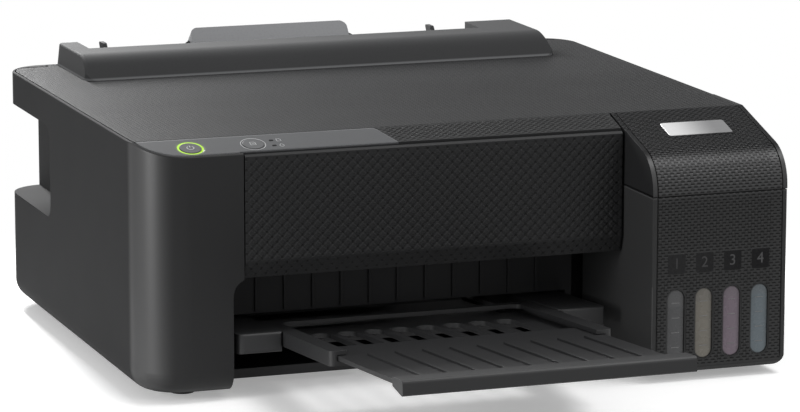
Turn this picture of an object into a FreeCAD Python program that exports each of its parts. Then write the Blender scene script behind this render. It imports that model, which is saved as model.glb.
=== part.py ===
import FreeCAD, Part
import math
import os

V = FreeCAD.Vector

# Overall sizes in millimetres: X across, Y to the back, Z up from the table
WIDTH = 375.0
BODY_DEPTH = 347.0
TRAY_REACH = 157.0
TOP_HEIGHT = 148.0
FOOT_HEIGHT = 4.5
HALF = WIDTH / 2
Y_BACK = (BODY_DEPTH + TRAY_REACH) / 2
Y_TANK = Y_BACK - BODY_DEPTH

# Shells and the gaps between them
WALL = 2.5
RIM = 1.5
RIM_ROUND = 0.9
SKIN = 3.0
SEAM = 0.6
COVER_INSET = RIM + 0.8
CORNER_FRONT = 29.0
CORNER_BACK = 23.5
BOTTOM_ROUND = 13.0

# Front of the body
TANK_STEP = 42.0
BAND_DEPTH = 22.0
BAND_SLOPE = 16.5
COLUMN_WIDTH = 60.0
COLUMN_STEP = 6.5
EXIT_ROUND = 10.0
PANEL_BOTTOM = 70.0
PANEL_TUCK = 3.0
PANEL_GAP = 1.5
PANEL_RETURN = 10.0
PANEL_BEVEL = 1.2
Y_PANEL = Y_TANK + TANK_STEP
Y_CREASE = Y_PANEL + BAND_DEPTH
X_COLUMN = -HALF + COLUMN_WIDTH
X_EXIT = X_COLUMN - COLUMN_STEP
SLOPE_RATE = math.tan(math.radians(BAND_SLOPE))

# Hand grips at the back of both sides
GRIP_DEPTH = 21.3
GRIP_LENGTH = 108.0
GRIP_LOW = 72.0
GRIP_HIGH = 128.0
GRIP_ROUND = 10.0
GRIP_CORNER = 8.0

# Seams between the side shells, the back and the tank unit
BACK_SEAM_IN = 32.5
SIDE_SEAM_BEHIND = 105.0
BACK_SEAM_X = HALF - BACK_SEAM_IN
SIDE_SEAM_Y = Y_TANK + SIDE_SEAM_BEHIND

# Ink tank unit at the right
TANK_WIDTH = 84.0
LID_SEAM = 109.2
LID_ROUND = 24.0
LID_BORDER = 2.6
GROOVE = 0.7
TANK_CORNER = 0.8
TANK_BOTTOM_ROUND = 7.0
TANK_PITCH = 17.5
TANK_THICK = 15.5
TANK_WALL = 1.5
WINDOW_WIDTH = 11.0
WINDOW_LOW = 13.0
WINDOW_HIGH = 54.5
WINDOW_RECESS = 1.0
WINDOW_CHAMFER = 0.8
WINDOW_PLAY = 0.25
TANK_FLOOR = FOOT_HEIGHT + WALL + 0.4
TANK_SHIFT = 0.6
TANK_TOP = 86.0
TANK_LENGTH = 80.0
NECK_RADIUS = 5.5
NECK_BORE = 3.6
NECK_HEIGHT = 6.0
NECK_BEHIND_FRONT = 20.0
DECK_THICK = 2.0
CAP_REACH = 20.0
CAP_WIDTH = 12.0
CAP_THICK = 2.2
CAP_PIN = 1.2
X_TANK = HALF - TANK_WIDTH
X_PANEL = X_TANK - PANEL_GAP
TANK_NAMES = ("black", "yellow", "magenta", "cyan")

# Feeder hood on top at the back
HOOD_IN = 33.5
HOOD_DEPTH = 71.5
HOOD_HEIGHT = 13.7
HOOD_LEAN = 0.84
HOOD_LEFT_LEAN = 0.11
HOOD_RIGHT_LEAN = 0.31
HOOD_ROOT = 10.0
HOOD_CORNER = 7.0
HOOD_CROWN = 22.0
HOOD_EDGE = 1.5
HOOD_OPEN = 41.0
HOOD_WALL = 2.5
EAR_LEFT = 13.0
EAR_RIGHT = 36.0
HOOD_HALF = HALF - HOOD_IN
Y_HOOD = Y_BACK - HOOD_DEPTH

# Cover hinge at the back beside the hood
HINGE_IN = 6.0
HINGE_DROP = 2.4
HINGE_RADIUS = 2.4
HINGE_PIN = 1.25
HINGE_LENGTH = 6.5
COVER_BACK_GAP = 3.3
RIB_DEPTH = 5.0
RIB_WIDTH = 2.0

# Fits
RUN = 0.05
PLAY = 0.4

# Sheet path between the two end plates of the platen
END_IN = 4.0
END_FROM_TANK = 9.5
END_THICK = 4.0
END_LEFT = X_EXIT - END_IN
END_RIGHT = X_TANK - END_FROM_TANK
PATH_SHIFT = 1.0
SHEET_MARGIN = 11.0
PATH_X = (END_LEFT + END_RIGHT) / 2 + PATH_SHIFT
SHEET_WIDTH = END_RIGHT - END_LEFT - 2 * SHEET_MARGIN
SHEET_Z = 62.0

# Back wall: cooling slots, screws, mains inlet and data port
VENT_COUNT = 12
VENT_IN = 85.0
VENT_X = BACK_SEAM_X - VENT_IN
VENT_PITCH = 5.0
VENT_WIDTH = 2.0
VENT_LOW = 60.0
VENT_HIGH = 85.0
SCREW_HEAD = 3.5
SCREW_HEAD_DEPTH = 1.8
SCREW_SHANK = 1.5
SCREW_LENGTH = 7.0
SCREW_LOW = 26.0
SCREW_BELOW_TOP = 26.0
SCREW_IN = 15.0
SCREW_X = BACK_SEAM_X - SCREW_IN
TAB_DEEP = 4.0
INLET_IN = 87.5
INLET_X = -HALF + INLET_IN
INLET_WIDTH = 30.0
INLET_Z = 30.0
INLET_HIGH = 22.0
INLET_SOCKET = 12.0
INLET_PITCH = 8.6
INLET_LOBE = 4.6
INLET_PIN = 1.2
PORT_IN = 44.0
PORT_WIDTH = 12.0
PORT_HIGH = 11.4
PORT_DEEP = 10.0
PORT_EDGE = 1.5
PORT_CUT = 2.0
PORT_TONGUE = 5.6
BOARD_LOW = 16.0
BOARD_THICK = 1.6
BOARD_TOP = BOARD_LOW + BOARD_THICK
BOARD_GAP = 10.0
BOARD_IN = 77.5
BOARD_DEPTH = 90.0
BOARD_AHEAD = 12.0
POST_IN = 10.0
POST_RADIUS = 2.0
CHIP = 26.0
CHIP_SMALL = 13.0
PLUG_WIDTH = 22.0
PLUG_DEEP = 6.0
PLUG_HIGH = 7.0
PLUG_COUNT = 3
CAN_RADIUS = 4.0
CAN_HIGH = 12.0
SUPPLY_IN = 55.5
SUPPLY_WIDTH = 62.0
SUPPLY_DEPTH = 108.0
SUPPLY_AHEAD = 14.0
SUPPLY_TOP = 48.0
SUPPLY_SLOTS = 8
SUPPLY_SLOT = 3.0
SUPPLY_MARGIN = 12.0
SUPPLY_LEFT = -HALF + SUPPLY_IN
SUPPLY_RIGHT = SUPPLY_LEFT + SUPPLY_WIDTH
SUPPLY_BACK = Y_BACK - SUPPLY_AHEAD
SUPPLY_FRONT = SUPPLY_BACK - SUPPLY_DEPTH
BOARD_LEFT = SUPPLY_RIGHT + BOARD_GAP
BOARD_RIGHT = HALF - BOARD_IN
BOARD_BACK = Y_BACK - BOARD_AHEAD
BOARD_FRONT = BOARD_BACK - BOARD_DEPTH
BOARD_POSTS_X = (BOARD_LEFT + POST_IN, BOARD_RIGHT - POST_IN)
BOARD_POSTS_Y = (BOARD_FRONT + POST_IN, BOARD_BACK - POST_IN)
PORT_X = BOARD_RIGHT - PORT_IN

# Floor and feet
PAN_SETBACK = 34.0
PAN_NOTCH_LEFT = 27.0
PAN_NOTCH = 25.0
PAN_NOTCH_ROUND = 12.0
PAN_CURB = 3.0
PAN_NOTCH_X = PATH_X - PAN_NOTCH_LEFT
FOOT_IN = 32.5
FOOT_PLACES = (
    (-HALF + FOOT_IN, Y_PANEL + FOOT_IN),
    (HALF - FOOT_IN, Y_TANK + FOOT_IN),
    (-HALF + FOOT_IN, Y_BACK - FOOT_IN),
    (HALF - FOOT_IN, Y_BACK - FOOT_IN),
)
FOOT_RADIUS = 8.0
FOOT_TAPER = 1.0

# Control plate, buttons and their switch board
CONTROL_THICK = 1.2
CONTROL_REACH = 83.5
CONTROL_RIGHT = X_COLUMN + CONTROL_REACH
CONTROL_SWEEP = 12.0
CONTROL_ROUND = 10.0
RING_OUT = 7.6
BUTTON_RADIUS = 6.2
BUTTON_PLAY = 0.3
BUTTON_PROUD = 0.3
BUTTON_STEM = 5.0
BUTTON_TRAVEL = 0.8
POWER_IN = 32.1
FEED_IN = 69.0
POWER_BEHIND = 10.5
FEED_BEHIND = 11.0
POWER_AT = (-HALF + POWER_IN, Y_PANEL + POWER_BEHIND)
FEED_AT = (-HALF + FEED_IN, Y_PANEL + FEED_BEHIND)
SWITCH_BOARD_DROP = 9.4
SWITCH_BOARD_HALF = 7.0
BOARD_POST_SPAN = 11.0
SWITCH = 3.0

# Cover ribs, lid flank, hinge line and filler caps
LID_FLANK = 20.0
COVER_RIBS = 3
COVER_RIB_FROM = 31.0
COVER_RIB_PITCH = 60.0
HINGE_AT = (Y_BACK - HINGE_IN, TOP_HEIGHT - HINGE_DROP)
COVER_CORNER_Y = HINGE_AT[0] - HINGE_RADIUS - SEAM
LUG_THICK = 1.5
LUG_HALF = 2.6
CAP_LIP = 1.2
CAP_PLAY = 0.5

# Gear teeth as shares of the module and of the pitch
TOOTH_TIP = 0.85
TOOTH_ROOT = 1.2
TOOTH_FOOT = 0.32
TOOTH_CREST = 0.08

# Rollers and their gears at the left
FEED_MODULE = 0.8
FEED_TEETH = 45
IDLER_TEETH = 25
EXIT_TEETH = 40
PINION_TEETH = 12
FEED_FROM_PANEL = 131.0
FEED_Y = Y_PANEL + FEED_FROM_PANEL
IDLER_Y = FEED_Y - FEED_MODULE * (FEED_TEETH + IDLER_TEETH) / 2
EXIT_Y = IDLER_Y - FEED_MODULE * (IDLER_TEETH + EXIT_TEETH) / 2
PINION_Y = FEED_Y + FEED_MODULE * (FEED_TEETH + PINION_TEETH) / 2
FEED_RADIUS = 5.0
ROLLER_Z = SHEET_Z - FEED_RADIUS
GEAR_OUT = 8.5
GEAR_X = END_LEFT - GEAR_OUT
GEAR_WIDTH = 5.0
STUD_RADIUS = 2.5
EXIT_SHAFT = 3.0
EXIT_RADIUS = 5.0
TYRE_COUNT = 6
TYRE_WIDTH = 10.0
PATH_MARGIN = 8.0
PINCH_COUNT = 5
PINCH_WIDTH = 14.0
PINCH_RADIUS = 3.0
PINCH_AXLE = 1.2
PINCH_RISE = 20.0
PINCH_END = 6.0
PINCH_MOUTH = 8.0
AXLE_END = 3.0
PINCH_AT = (FEED_Y + 1, SHEET_Z + PINCH_RADIUS + 0.35)
STAR_COUNT = 7
STAR_WIDTH = 1.2
STAR_RADIUS = 4.0
STAR_POINTS = 12
STAR_VALLEY = 0.72
STAR_BAR_HALF = 7.0
STAR_BAR_TOP = 5.5
STAR_PLAY = 0.6
STAR_BAR_END = 2.0
STAR_AT = (EXIT_Y, SHEET_Z + STAR_RADIUS + STAR_PLAY)
MOTOR_RADIUS = 14.0
MOTOR_LENGTH = 28.0
MOTOR_ROUND = 2.0
MOTOR_SHAFT = 1.2
SHAFT_DEPTH = 8.0

# Platen and its end plates
END_FRONT = 10.0
END_ROUND = 6.0
END_WINDOW = 8.0
END_WINDOW_DROP = 18.0
PLATEN_TOP = SHEET_Z - 0.7
PLATEN_CLEAR = 8.0
PLATEN_DEEP = 8.0
PLATEN_TROUGH = 5.0
PLATEN_SHELF = 2.0
PLATEN_ROUND = 1.5
RIB_COUNT = 12
APRON_GAP = 1.6
APRON_RIB = 1.5

# Steel frame, guide shaft, carriage and belt
FRAME_IN_LEFT = 27.5
FRAME_IN_RIGHT = 19.5
FRAME_BEHIND = 28.0
FRAME_LEFT = -HALF + FRAME_IN_LEFT
FRAME_RIGHT = HALF - FRAME_IN_RIGHT
FRAME_Y = FEED_Y + FRAME_BEHIND
FRAME_LOW = 74.0
FRAME_TOP = 128.0
FRAME_WINDOWS = 4
FRAME_WINDOW = 36.0
FRAME_WINDOW_FIRST = 60.0
FRAME_WINDOW_LAST = 46.0
FRAME_WINDOW_DROP = 18.0
SHEET_STEEL = 1.5
FLANGE = 14.0
RAIL_AHEAD = 64.0
RAIL_Y = FEED_Y - RAIL_AHEAD
RAIL_Z = 75.5
RAIL_WIDTH = 12.0
CHEEK_ARM = 30.0
CHEEK_ROUND = 8.0
CHEEK_LEG = 10.0
CHEEK_UNDER = 5.0
GUIDE_BEHIND = 12.0
GUIDE_Z = 100.0
GUIDE_AT = (FEED_Y + GUIDE_BEHIND, GUIDE_Z)
GUIDE_RADIUS = 4.0
HOME_IN = 46.0
HOME_X = FRAME_RIGHT - HOME_IN
CARRIAGE_HALF = 39.0
CARRIAGE_TOP = 121.0
CARRIAGE_LIP = 4.0
CARRIAGE_NECK = 6.0
HEAD_HALF = 17.0
HEAD_AHEAD = 38.0
HEAD_DEPTH = 26.0
HEAD_FRONT = FEED_Y - HEAD_AHEAD
HEAD_BACK = HEAD_FRONT + HEAD_DEPTH
HEAD_PLATE = 1.5
HEAD_MARGIN = 3.0
HEAD_TOP = 72.5
HEAD_LOW = 64.0
BELT_Z = 112.0
BELT_AHEAD = 7.0
BELT_Y = FRAME_Y - BELT_AHEAD
BELT_WIDTH = 5.0
BELT_THICK = 0.9
BELT_PLAY = 0.15
DRIVE_IN = 14.0
IDLER_IN = 13.0
DRIVE_X = FRAME_LEFT + DRIVE_IN
IDLER_X = FRAME_RIGHT - IDLER_IN
PULLEY_RADIUS = 6.0
PULLEY_Y = BELT_Y - 0.5
PULLEY_WIDTH = BELT_WIDTH + 1.0
FLANGE_THICK = 1.0
FORK_HALF = 12.0
SEAL_LOW = 62.0
WIPER_IN = 1.5
WIPER_THICK = 1.2
WASTE_TOP = 28.0
WASTE_DEPTH = 28.0
WASTE_BACK = FRAME_Y + WASTE_DEPTH

# Sheet feeder: leaning plate, edge guides on a rack and pinion, pull-out support
FEED_LEAN = 40.0
FEEDER_AHEAD = 80.0
FEEDER_Y = Y_BACK - FEEDER_AHEAD
FEEDER_Z = 80.0
FEED_FOOT = 6.0
ROOF_UP_SLOPE = (TOP_HEIGHT - FEEDER_Z) / math.cos(math.radians(FEED_LEAN))
PLATE_OVER = 9.0
PLATE_TOP = ROOF_UP_SLOPE + PLATE_OVER
CHEEK_TOP = 60.0
CHUTE_BEHIND = 40.0
CHUTE_FRONT = FEED_Y + CHUTE_BEHIND
CHUTE_BEND = 14.0
LEG_DEPTH = 34.0
PICKUP_AT = (22.0, 18.3)
PICKUP_SHAFT = 3.0
PICKUP_RADIUS = 17.5
PICKUP_HALF = 20.0
PICKUP_BROW = 8.0
PICKUP_FLAT = 0.7
GUIDE_HALF = SHEET_WIDTH / 2 + 2.0
GUIDE_OVER = 16.8
GUIDE_TOP = ROOF_UP_SLOPE + GUIDE_OVER
GUIDE_TIP = 7.4
GUIDE_TRAVEL = 55.0
FENCE_HIGH = 22.0
FENCE_NECK = 11.5
FENCE_BELOW_ROOF = 14.0
FOOT_REACH = 20.0
FOOT_LENGTH = 48.0
WEB_WIDTH = 10.0
RACK_MODULE = 0.75
RACK_TEETH = 16
RACK_PITCH_RADIUS = RACK_MODULE * RACK_TEETH / 2
RACK_BACK = 3.0
RACK_THICK = 2.6
RACK_OVERRUN = 10.0
PINION_S = 15.0
PINION_PIN = 2.0
SUPPORT_LOW = 30.0
SUPPORT_OVER = 18.0
SUPPORT_TOP = ROOF_UP_SLOPE + SUPPORT_OVER
SUPPORT_SHIFT = 4.0
SUPPORT_X = PATH_X + SUPPORT_SHIFT
SUPPORT_THICK = 4.6
SUPPORT_RAIL = 5.0
TAB_HALF = 52.0
TAB_OVER = 25.0
TAB_TOP = ROOF_UP_SLOPE + TAB_OVER
TAB_FLOOR = 1.6
TAB_THICK = 2.4
TAB_ROUND = 5.0
TAB_HEAD_FRONT = 0.5
TAB_HEAD_BACK = -9.0

# Exit tray in two stages, tilted down to the back
TRAY_TILT = 4.7
TRAY_TOP = 54.5
TRAY_IN = 21.5
TRAY_HALF = SHEET_WIDTH / 2 - TRAY_IN
TRAY_STAGE = 100.0
TRAY_LENGTH = 127.5
TRAY_LAP = 34.0
TRAY_RAIL = 4.0
TRAY_LIP = 5.5
TRAY_RIBS = 9
TRAY_RIB_IN = 19.5
TRAY_RIB_PITCH = 2 * (TRAY_HALF - TRAY_RIB_IN) / (TRAY_RIBS - 1)
TRAY_SLOT_IN = 24.0
TRAY_SLOT_SHARE = 0.375
TRAY_SLOT_HALF = TRAY_RIB_PITCH * TRAY_SLOT_SHARE
BAR_DEEP = 16.0
BAR_HIGH = 9.0
BAR_ROUND = 1.5
PLATE_LOW = -5.8
SIDE_PLAY = 0.8
BLOCK_IN = 2.0
BLOCK_RIGHT = END_RIGHT - BLOCK_IN
BLOCK_LOW = -BAR_HIGH - 2.5
LEDGE = 6.0
GUIDE_BLOCK = 145.0
TIE_BACK = 35.0

AXES = {
    "XY": (V(1, 0, 0), V(0, 1, 0), V(0, 0, 1)),
    "XZ": (V(1, 0, 0), V(0, 0, 1), V(0, 1, 0)),
    "YZ": (V(0, 1, 0), V(0, 0, 1), V(1, 0, 0)),
}


# Helpers for profiles and solids

def outline(points, plane, level):
    """Closed wire through (a, b) points; a third number rounds that corner."""
    across, up, out = AXES[plane]

    def place(point):
        return across * point.x + up * point.y + out * level

    corners = [V(p[0], p[1], 0) for p in points]
    radii = [p[2] if len(p) > 2 else 0.0 for p in points]
    count = len(corners)
    stretches = []
    for i, corner in enumerate(corners):
        if radii[i] <= 0:
            stretches.append((corner, None, corner))
            continue
        before = (corners[i - 1] - corner).normalize()
        after = (corners[(i + 1) % count] - corner).normalize()
        half = before.getAngle(after) / 2
        run = radii[i] / math.tan(half)
        inward = (before + after).normalize()
        middle = corner + inward * (radii[i] / math.sin(half) - radii[i])
        stretches.append((corner + before * run, middle, corner + after * run))
    edges = []
    for i, (start, middle, end) in enumerate(stretches):
        if middle is not None:
            edges.append(Part.Arc(place(start), place(middle), place(end)).toShape())
        following = stretches[(i + 1) % count][0]
        if end.distanceToPoint(following) > 1e-6:
            edges.append(Part.LineSegment(place(end), place(following)).toShape())
    return Part.Wire(edges)


def prism(points, plane, low, high):
    """Rounded outline extruded along the axis that is square to its plane."""
    out = AXES[plane][2]
    return Part.Face(outline(points, plane, low)).extrude(out * (high - low))


def rect(a0, a1, b0, b1, radius=0.0):
    return [(a0, b0, radius), (a1, b0, radius), (a1, b1, radius), (a0, b1, radius)]


def box(x0, x1, y0, y1, z0, z1):
    return Part.makeBox(x1 - x0, y1 - y0, z1 - z0, V(x0, y0, z0))


def rod_x(x0, x1, y, z, radius):
    return Part.makeCylinder(radius, x1 - x0, V(x0, y, z), V(1, 0, 0))


def rod_y(y0, y1, x, z, radius):
    return Part.makeCylinder(radius, y1 - y0, V(x, y0, z), V(0, 1, 0))


def rod_z(z0, z1, x, y, radius):
    return Part.makeCylinder(radius, z1 - z0, V(x, y, z0), V(0, 0, 1))


def fuse(first, *others):
    return first.multiFuse(list(others)).removeSplitter()


def save(node, shape):
    shape.exportStep("parts/" + node + ".step")


# The outer form that all the shells are cut from

def plan(inset):
    left, right = -HALF + inset, HALF - inset
    front, back = Y_PANEL + inset, Y_BACK - inset
    return [
        (left, front, CORNER_FRONT - inset),
        (right, front),
        (right, back, CORNER_BACK - inset),
        (left, back, CORNER_BACK - inset),
    ]


def roof_z(y):
    return TOP_HEIGHT - max(0.0, Y_CREASE - y) * SLOPE_RATE


def above_roof(drop):
    """Everything above the roof line, lowered by drop."""
    front, back = Y_TANK - WALL, Y_BACK + WALL
    high = TOP_HEIGHT + HOOD_HEIGHT * 2
    points = [
        (front, roof_z(front) - drop),
        (Y_CREASE, TOP_HEIGHT - drop),
        (back, TOP_HEIGHT - drop),
        (back, high),
        (front, high),
    ]
    return prism(points, "YZ", -HALF - WALL, HALF + WALL)


def roof_layer(top, bottom, inset):
    """Slice of the roof between two drops, inside the inset plan."""
    block = prism(plan(inset), "XY", roof_z(Y_PANEL) - bottom - WALL, TOP_HEIGHT + WALL)
    return block.cut(above_roof(top)).common(above_roof(bottom))


def edges_at(shape, level):
    return [e for e in shape.Edges if all(abs(v.Z - level) < 1e-4 for v in e.Vertexes)]


def case_block(inset):
    low = FOOT_HEIGHT + inset
    block = prism(plan(inset), "XY", low, TOP_HEIGHT + WALL)
    return block.makeFillet(BOTTOM_ROUND - inset, edges_at(block, low))


def grips(grow):
    """Both hand-grip recesses, rounded in plan and from the side, grown by a wall."""
    inner = -HALF + GRIP_DEPTH + grow
    front = Y_BACK - GRIP_LENGTH - grow
    low, high = GRIP_LOW - grow, GRIP_HIGH + grow
    outside, behind = -HALF - WALL, Y_BACK + WALL
    points = [(outside, front), (inner, front, GRIP_ROUND + grow), (inner, behind), (outside, behind)]
    corner = GRIP_CORNER + grow
    side = [(front, low, corner), (behind, low), (behind, high), (front, high, corner)]
    left = prism(points, "XY", low, high).common(prism(side, "YZ", outside, inner))
    return left.fuse(left.mirror(V(0, 0, 0), V(1, 0, 0)))


def exit_mouth(grow, y0, y1):
    """Sheet exit seen from the front, with a rounded upper left corner."""
    left, low = X_EXIT - grow, FOOT_HEIGHT - WALL
    high = PANEL_BOTTOM + grow
    points = [(left, low), (X_TANK, low), (X_TANK, high), (left, high, EXIT_ROUND + grow)]
    return prism(points, "XZ", y0, y1)


def roof_edges(block):
    """Edges round the roof, without the crease that crosses it."""
    edges = []
    for edge in block.Edges:
        ends = edge.Vertexes
        on_roof = all(abs(v.Z - roof_z(v.Y)) < 1e-4 for v in ends)
        on_crease = all(abs(v.Y - Y_CREASE) < 1e-4 for v in ends)
        if on_roof and not on_crease:
            edges.append(edge)
    return edges


def case_shell():
    outer = case_block(0).cut(above_roof(0))
    outer = outer.makeFillet(RIM_ROUND, roof_edges(outer))
    inner = case_block(WALL).cut(grips(WALL))
    shell = outer.cut(grips(0)).cut(inner)
    ledge = prism(plan(RIM), "XY", PANEL_BOTTOM, TOP_HEIGHT + WALL).common(above_roof(SKIN + SEAM))
    opening = prism(plan(BOTTOM_ROUND), "XY", FOOT_HEIGHT - WALL, FOOT_HEIGHT + 2 * WALL)
    front = box(X_COLUMN, HALF + WALL, Y_PANEL - WALL, Y_PANEL + BOTTOM_ROUND, 0, TOP_HEIGHT + WALL)
    return shell.cut(ledge).cut(opening).cut(front)


def left_cover(shell):
    side = box(-HALF - WALL, -BACK_SEAM_X - SEAM / 2, Y_PANEL - WALL, Y_BACK + WALL, 0, TOP_HEIGHT + WALL)
    column = box(-BACK_SEAM_X - SEAM, X_COLUMN, Y_PANEL - WALL, Y_PANEL + COLUMN_WIDTH, 0, TOP_HEIGHT + WALL)
    cover = shell.common(side.fuse(column))
    cover = cover.cut(exit_mouth(0, Y_PANEL - WALL, Y_PANEL + COLUMN_WIDTH))
    lip = exit_mouth(WALL, Y_PANEL + WALL, Y_PANEL + COLUMN_WIDTH)
    lip = lip.cut(exit_mouth(0, Y_PANEL, Y_PANEL + COLUMN_WIDTH))
    lip = lip.common(box(-HALF, X_COLUMN, Y_PANEL, Y_BACK, 0, TOP_HEIGHT)).common(case_block(WALL))
    return fuse(cover, lip, corner_shelf(-1), *screw_tabs(-1)).cut(screw_holes())


def corner_shelf(side):
    """Fixed corner of the top behind the cover's hinge line."""
    near = side * (HOOD_HALF + SEAM + HINGE_LENGTH + SEAM)
    ends = sorted((near, side * HALF))
    front = HINGE_AT[0] - HINGE_PIN
    return prism(plan(RIM / 2), "XY", TOP_HEIGHT - SKIN, TOP_HEIGHT).common(
        box(ends[0], ends[1], front, Y_BACK, 0, TOP_HEIGHT))


def screw_places():
    low, high = SCREW_LOW, TOP_HEIGHT - SCREW_BELOW_TOP
    return [(side * SCREW_X, z) for side in (-1, 1) for z in (low, high)]


def screw_holes():
    return [rod_y(Y_BACK - BODY_DEPTH / 2, Y_BACK, x, z, SCREW_SHANK) for x, z in screw_places()]


def screw_tabs(side):
    """Lugs of a side shell that reach behind the back wall and take its screws."""
    inner = Y_BACK - WALL
    tabs = []
    for x, z in screw_places():
        if x * side > 0:
            half = 2 * SCREW_HEAD
            ends = sorted((x - side * half, side * (BACK_SEAM_X + 2 * WALL)))
            face = rect(ends[0], ends[1], z - half, z + half, SCREW_HEAD)
            tab = prism(face, "XZ", inner - TAB_DEEP, inner - PLAY / 2)
            ends = sorted((side * (BACK_SEAM_X + SEAM / 2), side * (BACK_SEAM_X + 2 * WALL)))
            root = box(ends[0], ends[1], inner - TAB_DEEP, inner + PLAY, z - half / 2, z + half / 2)
            tabs.append(tab.fuse(root))
    return tabs


def right_cover(shell):
    left, front = BACK_SEAM_X + SEAM / 2, SIDE_SEAM_Y + SEAM / 2
    side = box(left, HALF + WALL, front, Y_BACK + WALL, 0, TOP_HEIGHT + WALL)
    return fuse(shell.common(side), corner_shelf(1), *screw_tabs(1)).cut(screw_holes())


def back_cover(shell):
    """Back wall with the mains inlet, the data port, cooling slots and screw seats."""
    half = BACK_SEAM_X - SEAM / 2
    cover = shell.common(box(-half, half, Y_HOOD, Y_BACK + WALL, 0, TOP_HEIGHT + WALL))
    cuts = [box(*inlet_window(PLAY), Y_BACK - 2 * WALL, Y_BACK + WALL, *inlet_window_z(PLAY))]
    cuts.append(box(*port_window(PLAY), Y_BACK - 2 * WALL, Y_BACK + WALL, *port_window_z(PLAY)))
    for i in range(VENT_COUNT):
        x = VENT_X + i * VENT_PITCH
        slot = rect(x, x + VENT_WIDTH, VENT_LOW, VENT_HIGH, VENT_WIDTH * 0.49)
        cuts.append(prism(slot, "XZ", Y_BACK - 2 * WALL, Y_BACK + WALL))
    for x, z in screw_places():
        cuts.append(rod_y(Y_BACK - SCREW_HEAD_DEPTH, Y_BACK + WALL, x, z, SCREW_HEAD + PLAY))
        cuts.append(rod_y(Y_BACK - 2 * WALL, Y_BACK, x, z, SCREW_SHANK + RUN))
    return cover.cut(cuts)


def case_screws():
    screws = []
    for x, z in screw_places():
        head = rod_y(Y_BACK - SCREW_HEAD_DEPTH, Y_BACK - PLAY / 2, x, z, SCREW_HEAD)
        shank = rod_y(Y_BACK - SCREW_LENGTH, Y_BACK - SCREW_HEAD_DEPTH, x, z, SCREW_SHANK)
        slot = box(x - SCREW_HEAD / 2, x + SCREW_HEAD / 2, Y_BACK - PLAY * 2, Y_BACK, z - PLAY, z + PLAY)
        cross = slot.fuse(slot.copy().rotate(V(x, 0, z), V(0, 1, 0), 90))
        screws.append(head.fuse(shank).cut(cross))
    return Part.makeCompound(screws)


def inlet_window(grow):
    return INLET_X - INLET_WIDTH / 2 - grow, INLET_X + INLET_WIDTH / 2 + grow


def inlet_window_z(grow):
    return INLET_Z - INLET_HIGH / 2 - grow, INLET_Z + INLET_HIGH / 2 + grow


def port_window(grow):
    return PORT_X - PORT_WIDTH / 2 - grow, PORT_X + PORT_WIDTH / 2 + grow


def port_window_z(grow):
    return BOARD_TOP - grow, BOARD_TOP + PORT_HIGH + grow


def base_pan():
    """Floor between the side shells, set back under the sheet exit with a finger notch."""
    low, high = FOOT_HEIGHT, FOOT_HEIGHT + WALL
    floor = prism(plan(BOTTOM_ROUND + SEAM), "XY", low, high)
    mouth = rect(X_EXIT + SEAM, X_TANK, Y_PANEL, Y_PANEL + PAN_SETBACK)
    floor = floor.cut(prism(mouth, "XY", low - WALL, high + WALL))
    notch = [
        (PAN_NOTCH_X, Y_PANEL),
        (X_TANK, Y_PANEL),
        (X_TANK, Y_PANEL + PAN_SETBACK + PAN_NOTCH),
        (PAN_NOTCH_X, Y_PANEL + PAN_SETBACK + PAN_NOTCH, PAN_NOTCH_ROUND),
    ]
    floor = floor.cut(prism(notch, "XY", low - WALL, high + WALL))
    floor = floor.cut(box(X_TANK - SEAM, HALF, Y_PANEL - WALL, SIDE_SEAM_Y + SEAM, 0, TOP_HEIGHT))
    front = Y_PANEL + PAN_SETBACK
    curb = box(X_EXIT + 2 * SEAM, PAN_NOTCH_X, front, front + WALL, high, high + PAN_CURB)
    posts = [rod_z(high, BOARD_LOW, x, y, POST_RADIUS) for x in BOARD_POSTS_X for y in BOARD_POSTS_Y]
    return fuse(floor, curb, *posts)


def rubber_feet():
    feet = []
    for x, y in FOOT_PLACES:
        cone = Part.makeCone(FOOT_RADIUS - FOOT_TAPER, FOOT_RADIUS, FOOT_HEIGHT, V(x, y, 0))
        feet.append(cone)
    return Part.makeCompound(feet)


# Front panel, sloping band and controls

def front_panel():
    """Flat panel with a bevelled upper edge, a tucked lower edge and end returns."""
    face, back = Y_PANEL, Y_PANEL + WALL
    top = roof_z(face) - PANEL_BEVEL / 2
    points = [
        (face, top - PANEL_BEVEL),
        (face + PANEL_BEVEL, top),
        (back, top),
        (back, PANEL_BOTTOM + 3 * PANEL_TUCK, 2 * PANEL_TUCK),
        (back + PANEL_TUCK, PANEL_BOTTOM),
        (face + PANEL_TUCK, PANEL_BOTTOM),
        (face, PANEL_BOTTOM + 3 * PANEL_TUCK, 2 * PANEL_TUCK),
    ]
    left = X_COLUMN + PANEL_GAP / 2
    sheet = prism(points, "YZ", left, X_PANEL)
    high = roof_z(back) - 6 * SKIN
    ends = []
    for x in (left, X_PANEL - WALL):
        ends.append(box(x, x + WALL, back, back + PANEL_RETURN, PANEL_BOTTOM + 3 * PANEL_TUCK, high))
    return fuse(sheet, *ends)


def panel_field(grow):
    """Plan of the grey control plate; its right end sweeps forward."""
    front = Y_PANEL - WALL
    return [
        (-HALF - WALL, front),
        (CONTROL_RIGHT + grow + CONTROL_SWEEP, front),
        (CONTROL_RIGHT + grow, Y_CREASE + WALL, CONTROL_ROUND),
        (-HALF - WALL, Y_CREASE + WALL),
    ]


def on_slope(shape, x, y):
    """Stands a shape made about the origin on the sloping band at x, y."""
    shape.rotate(V(0, 0, 0), V(1, 0, 0), BAND_SLOPE)
    shape.translate(V(x, y, roof_z(y)))
    return shape


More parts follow.
